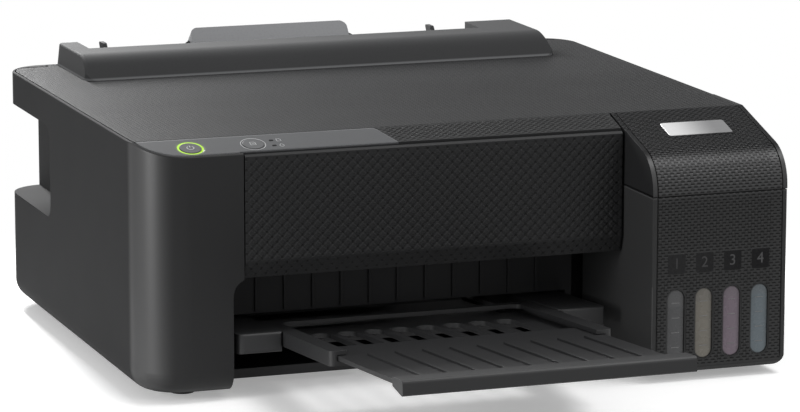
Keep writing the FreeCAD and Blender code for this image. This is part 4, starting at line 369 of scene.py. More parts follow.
def woven(finish, across, along, shown, dark=0.1, light=2.4):
    """Basket weave: short level dashes sunk between pillows, every other row half a step on, with
    painted highlights on the pillows' crowns and painted shade in the dashes.
    """
    sunk, raised = [], []
    for step in (0.0, 0.5):
        beside = (across + WEAVE_ACROSS * step).from_line(WEAVE_ACROSS)
        level = (along + WEAVE_ALONG * step).from_line(WEAVE_ALONG)
        over = (along + WEAVE_ALONG * (step + 0.3)).from_line(WEAVE_ALONG)
        sunk.append(beside.fall(0.95, 1.5) * level.fall(0.1, 0.55))
        raised.append(beside.fall(0.6, 1.5) * over.fall(0.1, 0.55))
    dash = sunk[0].highest(sunk[1]) * shown
    crown = raised[0].highest(raised[1]) * shown
    # painted highlight on the pillows' crowns
    finish.shaded(crown * 0.8, light)
    # painted shade in the sunk dashes
    finish.shaded(dash, dark)
    finish.relief(crown * 0.3 - dash + 1, 0.35)
    finish.vary("Roughness", dash * 0.9 + finish.noise(30) * 0.1, finish.roughness, 0.95)
    return dash


def border_groove(finish, across, shown):
    """Thin sunk line between the woven field and the plain border at each side, darkened with
    painted shade.
    """
    off = (across - BORDER_LEFT).from_zero().lowest((across - BORDER_RIGHT).from_zero())
    line = off.fall(0.15, 0.5) * shown
    # painted shade in the groove
    finish.shaded(line, 0.25)
    return finish.relief(line.opposite(), 0.25)


def lid_pattern(finish):
    """Weave up the lid's front, over its round and slope, and on along the top plate.

    The top plate has painted light close to the hood, and the lid has a painted shadow along its
    foot.
    """
    x, y, z = finish.place()
    _, back, up = finish.facing()
    turn = (z - LID_ROUND_Z).math("ARCTAN2", y * -1 + LID_ROUND_Y)
    over = turn * LID_ROUND + LID_ROUND_Z
    front = z.below(LID_ROUND_Z).choose(over, z)
    slope_y = LID_ROUND_Y - LID_ROUND * math.cos(LID_TURN)
    slope_start = LID_ROUND_Z + LID_ROUND * LID_TURN
    slope = (y.lowest(CREASE_Y) - slope_y) / math.cos(SLOPE) + slope_start
    along = y.above(slope_y).choose(front, slope) + (y - CREASE_Y).highest(0.0)
    inside = x.below(BORDER_RIGHT) * y.above(PANEL_Y).highest(x.above(BORDER_LEFT))
    outer = up.above(0.2).highest(back.below(-0.5))
    lid = y.below(PANEL_Y)
    # painted light on the top plate in the strip close to the hood
    finish.shaded(y.rise(*PAINTED_HOOD_LIGHT) * up.above(0.9) * 0.5, 2.0)
    sunk = woven(finish, x, along, inside * outer)
    border_groove(finish, x, outer * lid)
    # painted shadow along the lid's foot, at the seam over the tank
    finish.shaded(z.fall(LID_SEAM + 0.5, LID_SEAM + 1.3) * lid, 0.1)
    return glazed_fronts(finish, sunk, 0.68, 0.42)


def tank_pattern(finish):
    """Weave between plain borders, a painted highlight along the edge under the lid, and a painted
    highlight and painted shade on the slot edges.
    """
    x, y, z = finish.place()
    across, back, up = finish.facing()
    front = back.below(-0.9) * y.below(TANK_Y + 0.3)
    inside = x.above(BORDER_LEFT) * x.below(BORDER_RIGHT)
    slots = y.below(TANK_Y + 1.0) * z.below(WINDOW_AXIS[1] + 8.0)
    chamfer = back.above(-0.9) * back.below(-0.4) * slots
    lit = (up - across).above(0.0)
    # painted highlight on the slot chamfers that face up and to the left
    finish.shaded(chamfer * lit, 2.4)
    # painted shade on the other slot chamfers
    finish.shaded(chamfer * lit.opposite(), 0.3)
    # painted highlight along the housing's top edge, under the lid
    finish.shaded(z.rise(LID_SEAM - 1.4, LID_SEAM - 0.7) * 0.8, 2.4)
    # weaker painted shade in the dashes and weaker painted highlight on the crowns than on the lid
    sunk = woven(finish, x, z, front * inside, dark=0.2, light=1.4)
    border_groove(finish, x, front)
    return glazed_fronts(finish, sunk, 0.15, 0.4)


def band_pattern(finish):
    """Weave up the sloping front band, under a thin smoother skin."""
    x, y, _ = finish.place()
    along = (y - CREASE_Y) / math.cos(SLOPE)
    woven(finish, x, along, finish.facing()[2].above(0.5))
    return finish.set("Coat Weight", 0.1).set("Coat Roughness", 0.38)


def panel_pattern(finish):
    """Dots in staggered rows, joined by crossed slanting lines and short level dashes."""
    x, _, z = finish.place()
    front = finish.facing()[1].below(-0.9)
    rising = (x - z).from_line(LATTICE)
    falling = (x + z).from_line(LATTICE)
    lines = rising.lowest(falling).fall(0.1, 0.6)
    dots = (rising + falling).fall(0.9, 1.9)
    level = z.from_line(LATTICE / 4).fall(0.1, 0.5)
    dashes = level * x.wave(LATTICE / 2).rise(-0.2, 0.6)
    marks = (lines * 0.3).highest(dots).highest(dashes * 0.25) * front
    finish.shaded(marks, 0.1)
    return finish.relief(marks.opposite(), 0.2)


def hood_plastic():
    """Hood and feeder plastic, with a painted highlight along the hood's foot."""
    finish = moulded("hood_charcoal", (0.039, 0.0395, 0.0405), 0.8, 0.1)
    # painted highlight along the hood's foot
    return finish.shaded(finish.place()[2].fall(TOP_Z + 0.6, TOP_Z + 1.6), 3.0)


def control_plate():
    """Grey plate with a painted green glow from the ring round the power button."""
    # a stronger painted highlight along the plate's edges
    finish = moulded("control_grey", (0.08, 0.0818, 0.085), 0.5, 0.12, edge=1.4, edge_highlight=1.0)
    x, y, _ = finish.place()
    # painted glow: the plate emits green in a band round the ring
    painted_ring_glow = (radius_from(x, y, POWER_AT) - HALO_RADIUS).from_zero().fall(0.5, 2.4)
    finish.set("Emission Color", (0.3, 0.5, 0.05, 1))
    return finish.vary("Emission Strength", painted_ring_glow, 0.0, 0.14)


def lit_ring():
    """Green light guide, brightest along its middle line."""
    finish = Finish("ring_green", (0.25, 0.45, 0.02), 0.6, 0.2)
    x, y, _ = finish.place()
    off = (radius_from(x, y, POWER_AT) - RING_RADIUS).from_zero()
    finish.set("Emission Color", (0.4, 0.62, 0.08, 1))
    return finish.vary("Emission Strength", off, 0.66, 0.4)


def plated(name, colour, roughness, stretch):
    """Plated steel with fine drawn lines and a cloudy gloss."""
    finish = Finish(name, colour, roughness, 0.5, 1.0).soft_edges(0.15)
    drawn = finish.noise(0.5, 2, stretch)
    finish.shaded(finish.noise(14).rise(0.3, 0.8) * 0.5, 0.75)
    finish.vary("Roughness", drawn, roughness - 0.1, roughness + 0.12)
    return finish.relief(drawn, 0.01)


def rubber(name):
    """Black rubber with a dusty mottle."""
    finish = Finish(name, (0.012, 0.012, 0.012), 0.8, 0.3).soft_edges(0.3)
    finish.shaded(finish.noise(2.2).rise(0.4, 0.8) * 0.6, 1.9)
    return finish.relief(finish.noise(0.5), 0.05)


def shaft_with_tyres(name, centre, core, gear):
    """Steel within the core's radius, rubber outside it, and a pale gear left of the gear's X."""
    finish = rubber(name)
    x, y, z = finish.place()
    steel = radius_from(y, z, centre).below(core)
    wheel = x.below(gear)
    finish.tint(steel, SHAFT_STEEL)
    finish.tint(wheel, GEAR_PALE)
    metal = steel * wheel.opposite()
    finish.vary("Metallic", metal, 0.0, 1.0)
    return finish.vary("Roughness", metal, 0.75, 0.3)


def feed_shaft():
    """Ground steel with gritted bands where the sheet runs, and a pale gear at the left."""
    finish = plated("feed_shaft", SHAFT_STEEL, 0.3, (12, 1, 1))
    x = finish.place()[0]
    wheel = x.below(GEAR_X)
    grit = x.wave(GRIT_PITCH).rise(-0.15, 0.1) * x.below(GRIT_END) * wheel.opposite()
    finish.tint(grit * finish.noise(0.6).rise(0.4, 0.6), (0.16, 0.16, 0.15))
    finish.tint(wheel, GEAR_PALE)
    return finish.vary("Metallic", wheel, 1.0, 0.0)


def circuit_board(name, top):
    """Green laminate with fine tracks and pads, and black parts standing above its top."""
    finish = Finish(name, (0.012, 0.09, 0.035), 0.35).soft_edges(0.1)
    x, y, z = finish.place()
    lanes = finish.noise(9, 0, (1, 2.5, 1)).wave(0.12).rise(0.55, 0.75)
    pin_rows = x.from_line(PIN_PITCH).lowest(y.from_line(PIN_PITCH)).fall(0.2, 0.35)
    pads = pin_rows * finish.noise(16, 0).rise(0.55, 0.58)
    finish.tint(lanes * 0.6, (0.03, 0.2, 0.08))
    finish.tint(pads * 0.8, (0.5, 0.48, 0.4))
    finish.tint(z.above(top + 0.3), (0.012, 0.012, 0.013))
    return finish.relief(lanes, 0.04)


def felt():
    """Pale fibre pad with stains."""
    finish = Finish("waste_felt", (0.5, 0.49, 0.45), 0.95, 0.1)
    fibres = finish.noise(0.8, 4, (1, 1, 3))
    finish.tint(fibres.rise(0.35, 0.65) * 0.6, (0.3, 0.29, 0.27))
    finish.tint(finish.noise(26).rise(0.55, 0.8) * 0.5, (0.12, 0.11, 0.14))
    return finish.relief(fibres, 0.35)


def ink_window(name, colour, level):
    """Smoky tank wall: the ink's tone shows through, weaker above its level, with painted shade
    down the right side and a painted shadow at the rim.
    """
    finish = Finish(name, colour, 0.22, 0.35).soft_edges(0.3)
    x, _, z = finish.place()
    aside = (x - INK_X[0]).math("WRAP", WINDOW_PITCH / 2, -WINDOW_PITCH / 2) / WINDOW_HALF
    finish.tint(z.rise(level, level + 1.2) * 0.25, (0.1, 0.1, 0.1))
    finish.shaded(finish.noise(7, 2, (1, 1, 0.4)).rise(0.35, 0.8) * 0.2, 0.75)
    # painted shade down the right side of each window
    finish.shaded(aside.rise(0.45, 1.0) * 0.6, 0.3)
    upright = z - z.highest(WINDOW_AXIS[0]).lowest(WINDOW_AXIS[1])
    off_axis = radius_from(aside * WINDOW_HALF, upright, (0.0, 0.0))
    # painted shadow round the rim of each window
    finish.shaded(off_axis.rise(WINDOW_HALF - 1.1, WINDOW_HALF - 0.3) * 0.8, 0.18)
    finish.set("Coat Weight", 0.2)
    finish.vary("Roughness", finish.noise(5), 0.2, 0.34)
    return finish.relief((aside * aside).opposite(), 0.7)


case_plastic = satin_fronts(
    moulded("case_charcoal", (0.0135, 0.0137, 0.0142), 0.9, 0.2), smooth=0.4, rough=0.95)
top_weave = lid_pattern(moulded("top_weave", (0.0158, 0.016, 0.0165), 0.49, 0.033, edge=0.6))
band_weave = band_pattern(moulded("band_weave", (0.0138, 0.014, 0.0144), 0.62, 0.09))
tank_weave = tank_pattern(moulded("tank_weave", (0.022, 0.0222, 0.0225), 0.7, 0.15, edge=0.7))
# a stronger painted highlight along the panel's edges
panel_lattice = panel_pattern(
    moulded("panel_lattice", (0.0118, 0.012, 0.0125), 0.5, 0.18, edge_highlight=1.0))

PAINT = {
    case_plastic: ("left_cover", "right_cover", "back_cover"),
    top_weave: ("top_cover",),
    band_weave: ("front_band",),
    tank_weave: ("tank_housing",),
    panel_lattice: ("front_panel",),
    hood_plastic(): (
        "feeder_hood", "feeder_frame", "paper_support", "edge_guide_left", "edge_guide_right"),
    control_plate(): ("control_panel",),
    lit_ring(): ("power_ring",),
    moulded("button_grey", (0.085, 0.0868, 0.09), 0.55, 0.15): ("power_button", "feed_button"),
    moulded("tab_grey", (0.172, 0.175, 0.182), 0.5, 0.35): ("support_tab",),
    moulded("tray_black", (0.017, 0.0172, 0.018), 0.45, 0.3): (
        "output_tray", "tray_extension", "tray_guide"),
    moulded("inner_black", (0.014, 0.014, 0.015), 0.55, 0.3): (
        "base_pan", "platen", "pinch_arm", "star_bar", "carriage", "capping_station", "tank_deck"),
    moulded("head_grey", (0.09, 0.09, 0.095), 0.5): ("print_head",),
    moulded("supply_black", (0.016, 0.016, 0.017), 0.6): ("power_supply", "power_inlet"),
    moulded("gear_white", (0.72, 0.71, 0.66), 0.42, 0.5, grain=0.5, edge=0.15): (
        "idler_gear", "guide_pinion", "idler_pulley", "star_wheels"),
    plated("sheet_steel", (0.62, 0.63, 0.64), 0.34, (1, 1, 8)): ("main_frame",),
    plated("ground_steel", (0.56, 0.56, 0.57), 0.22, (12, 1, 1)): (
        "guide_shaft", "feed_pinion", "drive_pulley"),
    plated("screw_steel", (0.4, 0.4, 0.41), 0.32, (1, 8, 1)): ("case_screws",),
    plated("motor_can", (0.5, 0.5, 0.51), 0.38, (1, 6, 1)): ("feed_motor", "carriage_motor"),
    feed_shaft(): ("feed_roller",),
    shaft_with_tyres("exit_tyres", (EXIT_Y, ROLLER_Z), EXIT_CORE, GEAR_X): ("exit_roller",),
    shaft_with_tyres("pinch_tyres", PINCH_AT, PINCH_CORE, NO_GEAR): ("pinch_rollers",),
    rubber("soft_black"): ("rubber_feet", "cap_and_wiper", "pickup_roller", "timing_belt"),
    circuit_board("main_laminate", BOARD_TOP): ("main_board",),
    circuit_board("switch_laminate", NO_PARTS): ("control_board",),
    felt(): ("waste_pad",),
}

# Each ink's window colour, level and cap colour
INKS = {
    "black": ((0.045, 0.046, 0.048), 44.0, (0.03, 0.03, 0.03)),
    "yellow": ((0.128, 0.118, 0.098), 46.0, (0.5, 0.36, 0.02)),
    "magenta": ((0.128, 0.098, 0.122), 47.0, (0.4, 0.02, 0.12)),
    "cyan": ((0.09, 0.112, 0.126), 48.0, (0.02, 0.2, 0.42)),
}
for ink, (wall, level, cap) in INKS.items():
    PAINT[ink_window("ink_" + ink, wall, level)] = ("ink_tank_" + ink,)
    PAINT[moulded("cap_" + ink, cap, 0.4, 0.5, grain=0.5, edge=0.3)] = ("tank_cap_" + ink,)

for finish, names in PAINT.items():
    for name in names:
        for slot in NODES[name].material_slots:
            slot.material = finish.material


# Outlines and plates of the small pieces

def skin_of(node):
    mesh = NODES[node].data
    corners = [v.co for v in mesh.vertices]
    return BVHTree.FromPolygons(corners, [p.vertices for p in mesh.polygons])


SKINS = {node: skin_of(node) for node in (
    "control_panel", "feed_button", "power_button",
    "top_cover", "tank_housing", "front_panel", "front_band",
)}


def lying_on(node, x, y):
    """Axes on the upper face of a node at (x, y): across, up the slope, outwards."""
    above = Vector((x * MM, y * MM, 1.0))
    point, normal, _, _ = SKINS[node].ray_cast(above, Vector((0, 0, -1)))
    across = Vector((1, 0, 0))
    up = normal.cross(across).normalized()
    turn = Matrix((across, up, normal)).transposed()
    return Matrix.Translation(point) @ turn.to_4x4()


def standing_on(x, z, y):
    """Axes on a face towards the front: across, upwards, outwards."""
    return Matrix(((1, 0, 0, x * MM), (0, 0, -1, y * MM), (0, 1, 0, z * MM), (0, 0, 0, 1)))


def shifted(place, across, up):
    """The same axes moved along the face, in millimetres."""
    return place @ Matrix.Translation((across * MM, up * MM, 0))


def arc(radius, turns, centre=(0.0, 0.0)):
    """Points on a circle at those angles in radians."""
    return [(centre[0] + radius * math.cos(t), centre[1] + radius * math.sin(t)) for t in turns]


def circle(radius, count=48):
    return arc(radius, [2 * math.pi * i / count for i in range(count)])


def round_rect(width, height, radius, steps=6):
    """Outline of a rectangle with rounded corners, centred, in millimetres."""
    points = []
    for quarter, (sx, sy) in enumerate(((1, 1), (-1, 1), (-1, -1), (1, -1))):
        centre = (sx * (width / 2 - radius), sy * (height / 2 - radius))
        turns = [(quarter + i / steps) * math.pi / 2 for i in range(steps + 1)]
        points += arc(radius, turns, centre)
    return points


def add_plate(bm, points, place, low, high, edge):
    """Closed plate from low to high over the place's face, with its upper edge chamfered."""
    centre = Vector((sum(p[0] for p in points), sum(p[1] for p in points))) / len(points)
    rings = []
    for level, pull in ((low, 0.0), (high - edge, 0.0), (high, edge)):
        ring = []
        for p in points:
            flat = Vector(p)
            flat -= (flat - centre).normalized() * pull
            ring.append(bm.verts.new(place @ (Vector((flat.x, flat.y, level)) * MM)))
        rings.append(ring)
    for lower, upper in zip(rings, rings[1:]):
        for i in range(len(lower)):
            j = (i + 1) % len(lower)
            bm.faces.new((lower[i], lower[j], upper[j], upper[i]))
    bm.faces.new(rings[-1])
    bm.faces.new(rings[0][::-1])


def add_band(bm, outer, inner, place, levels, closed=True):
    """Raised line between two outlines of the same count."""
    low, high = levels
    count = len(outer)
    layers = []
    for points, level in ((outer, low), (outer, high), (inner, high), (inner, low)):
        layers.append([bm.verts.new(place @ (Vector((*p, level)) * MM)) for p in points])
    for a, b in zip(layers, layers[1:] + layers[:1]):
        for i in range(count if closed else count - 1):
            j = (i + 1) % count
            bm.faces.new((a[i], a[j], b[j], b[i]))
    if not closed:
        bm.faces.new([layer[0] for layer in layers])
        bm.faces.new([layer[-1] for layer in layers][::-1])


def add_arc(bm, place, radius, width, start, end, levels, count=24):
    """Raised part of a ring, angles in degrees."""
    turns = [math.radians(start + (end - start) * i / count) for i in range(count + 1)]
    outer, inner = arc(radius + width / 2, turns), arc(radius - width / 2, turns)
    add_band(bm, outer, inner, place, levels, closed=False)


def add_stroke(bm, place, points, width, levels, closed=False):
    """Raised line of even width through points."""
    count = len(points)
    outer, inner = [], []
    for i, p in enumerate(points):
        before = Vector(points[i - 1] if i or closed else p)
        after = Vector(points[(i + 1) % count] if i < count - 1 or closed else p)
        run = (after - before).normalized()
        side = Vector((-run.y, run.x)) * (width / 2)
        outer.append(Vector(p) - side)
        inner.append(Vector(p) + side)
    add_band(bm, outer, inner, place, levels, closed)


def settle(name, mesh, body, finish):
    """Makes the mesh a piece of the printer that moves with a body."""
    mesh.materials.clear()
    mesh.materials.append(finish.material)
    made = bpy.data.objects.new(name, mesh)
    bpy.context.scene.collection.objects.link(made)
    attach(made, body)


def piece(name, bm, body, finish):
    """Turns drawn faces into a mesh and settles it."""
    bmesh.ops.recalc_face_normals(bm, faces=bm.faces)
    mesh = bpy.data.meshes.new(name)
    bm.to_mesh(mesh)
    bm.free()
    settle(name, mesh, body, finish)


# Lid plate, numbered tiles and window marks

def brushed_plate():
    """Bare silver plate with drawn lines across it, brighter to the left."""
    finish = Finish("silver_plate", (0.62, 0.62, 0.62), 0.45, 0.4, 0.35)
    x = finish.place()[0]
    finish.tint(x.rise(*BADGE_FADE), (0.17, 0.17, 0.173))
    lines = finish.noise(0.7, 3, (0.05, 1, 1))
    finish.vary("Roughness", lines, 0.3, 0.5)
    return finish.relief(lines, 0.015)


def tile_gloss():
    """Glossy dark tiles, darker towards the right."""
    finish = Finish("tile_gloss", (0.013, 0.013, 0.0135), 0.25, 0.12)
    x = finish.place()[0]
    finish.tint(x.rise(INK_X[0], INK_X[3]), (0.004, 0.004, 0.0045))
    return finish.vary("Roughness", finish.noise(3), 0.2, 0.35)


def pale_print():
    """Grey figures, paler towards the right."""
    finish = Finish("pale_print", (0.035, 0.035, 0.036), 0.5, 0.2)
    finish.tint(finish.place()[0].rise(INK_X[0], INK_X[3]), (0.07, 0.07, 0.072))
    return finish.tint(finish.noise(0.9).rise(0.4, 0.7) * 0.3, (0.04, 0.04, 0.041))


def printed(name, colour, speckle, size, amount, roughness=0.5, specular=0.5):
    """Print in one colour, speckled with another in grains of that size."""
    finish = Finish(name, colour, roughness, specular)
    return finish.tint(finish.noise(size).rise(0.4, 0.7) * amount, speckle)


def numeral(text, place):
    """Mesh of a figure, centred on a face."""
    curve = bpy.data.curves.new("figure_" + text, "FONT")
    curve.body = text
    curve.size = FIGURE_SIZE * MM
    curve.align_x = "CENTER"
    curve.align_y = "CENTER"
    curve.extrude = FIGURE_DEPTH * MM
    curve.resolution_u = 4
    holder = bpy.data.objects.new("figure_" + text, curve)
    mesh = bpy.data.meshes.new_from_object(holder)
    bpy.data.objects.remove(holder)
    mesh.transform(place)
    return mesh


class Grower:
    """A Geometry Nodes tree with named inputs, and the plain mesh that it makes from them."""

    def __init__(self, name, sizes):
        self.tree = bpy.data.node_groups.new(name, "GeometryNodeTree")
        self.values = {}
        new_socket = self.tree.interface.new_socket
        new_socket("Geometry", in_out="OUTPUT", socket_type="NodeSocketGeometry")
        for label, (kind, value) in sizes.items():
            socket = new_socket(label, in_out="INPUT", socket_type="NodeSocket" + kind)
            self.values[socket.identifier] = value
        self.given = self.tree.nodes.new("NodeGroupInput").outputs

    def add(self, kind, *inputs):
        """First output of a new node, whose inputs are plain values or other nodes' outputs."""
        node = self.tree.nodes.new("GeometryNode" + kind)
        for label, value in inputs:
            if isinstance(value, bpy.types.NodeSocket):
                self.tree.links.new(value, node.inputs[label])
            else:
                node.inputs[label].default_value = value
        return node.outputs[0]

    def grid(self, columns, rows, width, length):
        """Points in columns and rows; each argument is the name of an input."""
        return self.add(
            "MeshGrid",
            ("Vertices X", self.given[columns]), ("Vertices Y", self.given[rows]),
            ("Size X", self.given[width]), ("Size Y", self.given[length]))

    def mesh(self, instances, finish):
        """Plain mesh of the instances in a finish."""
        real = self.add("RealizeInstances", ("Geometry", instances))
        painted = self.add("SetMaterial", ("Geometry", real), ("Material", finish.material))
        self.tree.links.new(painted, self.tree.nodes.new("NodeGroupOutput").inputs[0])
        name = self.tree.name
        holder = bpy.data.objects.new(name, bpy.data.meshes.new(name))
        bpy.context.scene.collection.objects.link(holder)
        modifier = holder.modifiers.new("made", "NODES")
        modifier.node_group = self.tree
        for identifier, value in self.values.items():
            modifier[identifier] = value
        evaluated = holder.evaluated_get(bpy.context.evaluated_depsgraph_get())
        mesh = bpy.data.meshes.new_from_object(evaluated)
        holder.modifiers.remove(modifier)
        bpy.data.objects.remove(holder)
        return mesh


def window_marks(finish):
    """Level marks on the tank windows: a grid of short rods, one column to each window."""
    middle = ((INK_X[0] + INK_X[-1]) / 2 * MM, WINDOW_Y * MM, MARK_MIDDLE_Z * MM)
    grower = Grower("window_marks", {
        "Windows": ("Int", len(INK_X)),
        "Marks": ("Int", MARK_COUNT),
        "Span": ("Float", (INK_X[-1] - INK_X[0]) * MM),
        "Height": ("Float", MARK_SPAN * MM),
        "Length": ("Float", MARK_LENGTH * MM),
        "Radius": ("Float", MARK_RADIUS * MM),
        "Middle": ("Vector", middle),
    })
    given = grower.given
    upright = grower.add(
        "Transform",
        ("Geometry", grower.grid("Windows", "Marks", "Span", "Height")),
        ("Rotation", (math.pi / 2, 0, 0)), ("Translation", given["Middle"]))
    rod = grower.add(
        "MeshCylinder",
        ("Vertices", 8), ("Depth", given["Length"]), ("Radius", given["Radius"]))
    rods = grower.add(
        "InstanceOnPoints",
        ("Points", upright), ("Instance", rod), ("Rotation", (0, math.pi / 2, 0)))
    return grower.mesh(rods, finish)


badge = bmesh.new()
badge_place = lying_on("top_cover", *BADGE_AT)
add_plate(badge, round_rect(*BADGE_SIZE, 1.6), badge_place, low=-0.2, high=0.35, edge=0.2)
piece("lid_badge", badge, "top_cover_body", brushed_plate())

tiles = bmesh.new()
for x in INK_X:
    tile_place = standing_on(x, TILE_Z, TANK_Y)
    add_plate(tiles, round_rect(*TILE_SIZE, 1.3), tile_place, low=-0.2, high=0.12, edge=0.1)
piece("window_tiles", tiles, "body", tile_gloss())

figures = bmesh.new()
for i, x in enumerate(INK_X):
    figures.from_mesh(numeral(str(i + 1), standing_on(x, TILE_Z, FIGURE_Y)))
piece("window_numbers", figures, "body", pale_print())

mark_print = printed("mark_print", (0.13, 0.13, 0.13), (0.14, 0.14, 0.145), 1.5, 0.4, 0.4)
settle("window_marks", window_marks(mark_print), "body", mark_print)


# Raised pillows of the moulded patterns

def pillows(name, counts, pitch, size, turn, finish):
    """Low four-sided pillows in staggered rows on a flat sheet."""
    grower = Grower(name, {
        "Columns": ("Int", counts[0]),
        "Rows": ("Int", counts[1]),
        "Width": ("Float", (counts[0] - 1) * pitch[0] * MM),
        "Length": ("Float", (counts[1] - 1) * pitch[1] * MM),
        "Half Step": ("Vector", (pitch[0] / 2 * MM, pitch[1] / 2 * MM, 0.0)),
        "Size": ("Vector", tuple(s * MM for s in size)),
    })
    given = grower.given
    rows = grower.grid("Columns", "Rows", "Width", "Length")
    between = grower.add("Transform", ("Geometry", rows), ("Translation", given["Half Step"]))
    points = grower.add("JoinGeometry", ("Geometry", between), ("Geometry", rows))
    pillow = grower.add(
        "MeshCone",
        ("Vertices", 4), ("Radius Top", 0.68), ("Radius Bottom", 1.0), ("Depth", 1.0))
    spread = 1 / math.cos(turn)
    square = grower.add(
        "Transform",
        ("Geometry", pillow), ("Rotation", (0, 0, turn)), ("Scale", (spread, spread, 1)))
    raised = grower.add(
        "InstanceOnPoints",
        ("Points", points), ("Instance", square), ("Scale", given["Size"]))
    return grower.mesh(raised, finish)


def laid(sheet, node, corner, at, clear):
    """Bends a flat sheet of pillows on to a node's face; drops those not wholly on it."""
    reach, slack, sunk = 20.0 * MM, 0.25 * MM, 0.03 * MM
    bm = bmesh.new()
    bm.from_mesh(sheet)
    low = [min(v.co[k] for v in bm.verts) for k in range(3)]
    verts, dropped = bm.verts[:], []
    for i in range(0, len(verts), PILLOW_CORNERS):
        one, spots = verts[i:i + PILLOW_CORNERS], []
        for v in one:
            across = corner[0] + (v.co.x - low[0]) / MM
            along = corner[1] + (v.co.y - low[1]) / MM
            point, outwards = at(across, along)
            hit, _, _, far = SKINS[node].ray_cast(point + outwards * reach, -outwards)
            if hit is None or abs(far - reach) > slack or not clear(across, along):
                break
            spots.append(hit + outwards * (v.co.z - low[2] - sunk))
        if len(spots) < len(one):
            dropped += one
            continue
        for v, spot in zip(one, spots):
            v.co = spot
    bmesh.ops.delete(bm, geom=dropped, context="VERTS")
    bm.to_mesh(sheet)
    bm.free()
    return sheet


def upright_face(y):
    """Points and outward direction on a face towards the front."""
    return lambda x, z: (Vector((x, y, z)) * MM, Vector((0, -1, 0)))


def lid_face(x, along):
    """Point and outward direction on the lid, by the length run up its front, round and slope."""
    turn = min(max((along - LID_ROUND_Z) / LID_ROUND, 0.0), LID_TURN)
    up = min(along - LID_ROUND_Z, 0.0)
    run = max(along - LID_ROUND_Z - LID_ROUND * LID_TURN, 0.0)
    y = LID_ROUND_Y - LID_ROUND * math.cos(turn) + run * math.cos(SLOPE)
    z = LID_ROUND_Z + LID_ROUND * math.sin(turn) + run * math.sin(SLOPE) + up
    return Vector((x, y, z)) * MM, Vector((0, -math.cos(turn), math.sin(turn)))


def band_face(x, along):
    """Point and outward direction on the front band, by the length run up its slope."""
    y, z = CREASE_Y + along * math.cos(SLOPE), TOP_Z + along * math.sin(SLOPE)
    return Vector((x, y, z)) * MM, Vector((0, -math.sin(SLOPE), math.cos(SLOPE)))


def off_tiles(x, z):
    """Clear of the numbered tiles."""
    beside = all(abs(x - tile) > TILE_CLEAR[0] for tile in INK_X)
    return beside or abs(z - TILE_Z) > TILE_CLEAR[1]


def off_badge(x, along):
    """Clear of the lid plate, and short of the crease."""
    y = lid_face(x, along)[0].y / MM
    beside = abs(x - BADGE_AT[0]) > BADGE_CLEAR[0] or abs(y - BADGE_AT[1]) > BADGE_CLEAR[1]
    return y < CREASE_Y - 1.0 and beside


def anywhere(across, along):
    return True


def weave_pillows(name, node, across, along, at, clear, finish):
    """Pillows over a range of both directions of a face, in step with the finish's dashes."""
    columns = int((across[1] - across[0]) / WEAVE_ACROSS)
    rows = int((along[1] - along[0]) / WEAVE_ALONG)
    left = math.ceil(across[0] / WEAVE_ACROSS) * WEAVE_ACROSS
    foot = math.ceil(along[0] / WEAVE_ALONG) * WEAVE_ALONG
    corner = (left - WEAVE_PILLOW[0], foot + WEAVE_ALONG / 2 - WEAVE_PILLOW[1])
    pitch = (WEAVE_ACROSS, WEAVE_ALONG)
    sheet = pillows(name, (columns, rows), pitch, WEAVE_PILLOW, math.pi / 4, finish)
    return laid(sheet, node, corner, at, clear)


def lattice_pillows(name, node, finish):
    """Pillows in the diamonds between the panel's slanting lines."""
    corner = (LATTICE_START[0] - LATTICE_PILLOW[0], LATTICE_START[1] - LATTICE_PILLOW[1])
    pitch = (LATTICE, LATTICE)
    sheet = pillows(name, LATTICE_COUNTS, pitch, LATTICE_PILLOW, 0.0, finish)
    return laid(sheet, node, corner, upright_face(PANEL_Y), anywhere)


tank_sheet = weave_pillows(
    "tank_pillows", "tank_housing", WOVEN_X, TANK_RUN,
    upright_face(TANK_Y), off_tiles, tank_weave)
settle("tank_pillows", tank_sheet, "body", tank_weave)
lid_sheet = weave_pillows(
    "lid_pillows", "top_cover", WOVEN_X, LID_RUN,
    lid_face, off_badge, top_weave)
settle("lid_pillows", lid_sheet, "top_cover_body", top_weave)
band_sheet = weave_pillows(
    "band_pillows", "front_band", BAND_X, BAND_RUN,
    band_face, anywhere, band_weave)
settle("band_pillows", band_sheet, "body", band_weave)
panel_sheet = lattice_pillows("panel_pillows", "front_panel", panel_lattice)
settle("panel_pillows", panel_sheet, "body", panel_lattice)


# Signs on the control plate

BUTTON_SHEET = ((-1.6, -1.7), (1.4, -1.7), (1.4, 0.9), (0.5, 1.8), (-1.6, 1.8))
SMALL_SHEET = ((-1.2, -1.4), (1.2, -1.4), (1.2, 0.6), (0.3, 1.5), (-1.2, 1.5))
INK_DROP = ((0, 1.9), (1.3, -0.2), (0.9, -1.3), (0, -1.7), (-0.9, -1.3), (-1.3, -0.2))
white_print = printed("white_print", (0.42, 0.425, 0.43), (0.3, 0.305, 0.31), 0.7, 0.5)
lamp_window = printed(
    "lamp_window", (0.006, 0.006, 0.0062), (0.003, 0.003, 0.0032), 0.8, 0.6, 0.7, 0.05)

power_sign = bmesh.new()
spot = lying_on("power_button", *POWER_AT)
add_arc(power_sign, spot, 2.0, 0.45, 125, 415, BUTTON_SIGN)
add_stroke(power_sign, spot, ((0, 0.5), (0, 2.6)), 0.45, BUTTON_SIGN)
piece("power_sign", power_sign, "power_button_body", white_print)

feed_sign = bmesh.new()
spot = lying_on("feed_button", *FEED_AT)
add_stroke(feed_sign, spot, BUTTON_SHEET, 0.4, BUTTON_SIGN, closed=True)
for line in (-0.7, 0.2):
    add_stroke(feed_sign, spot, ((-0.8, line), (0.7, line)), 0.35, BUTTON_SIGN)
piece("feed_sign", feed_sign, "feed_button_body", white_print)

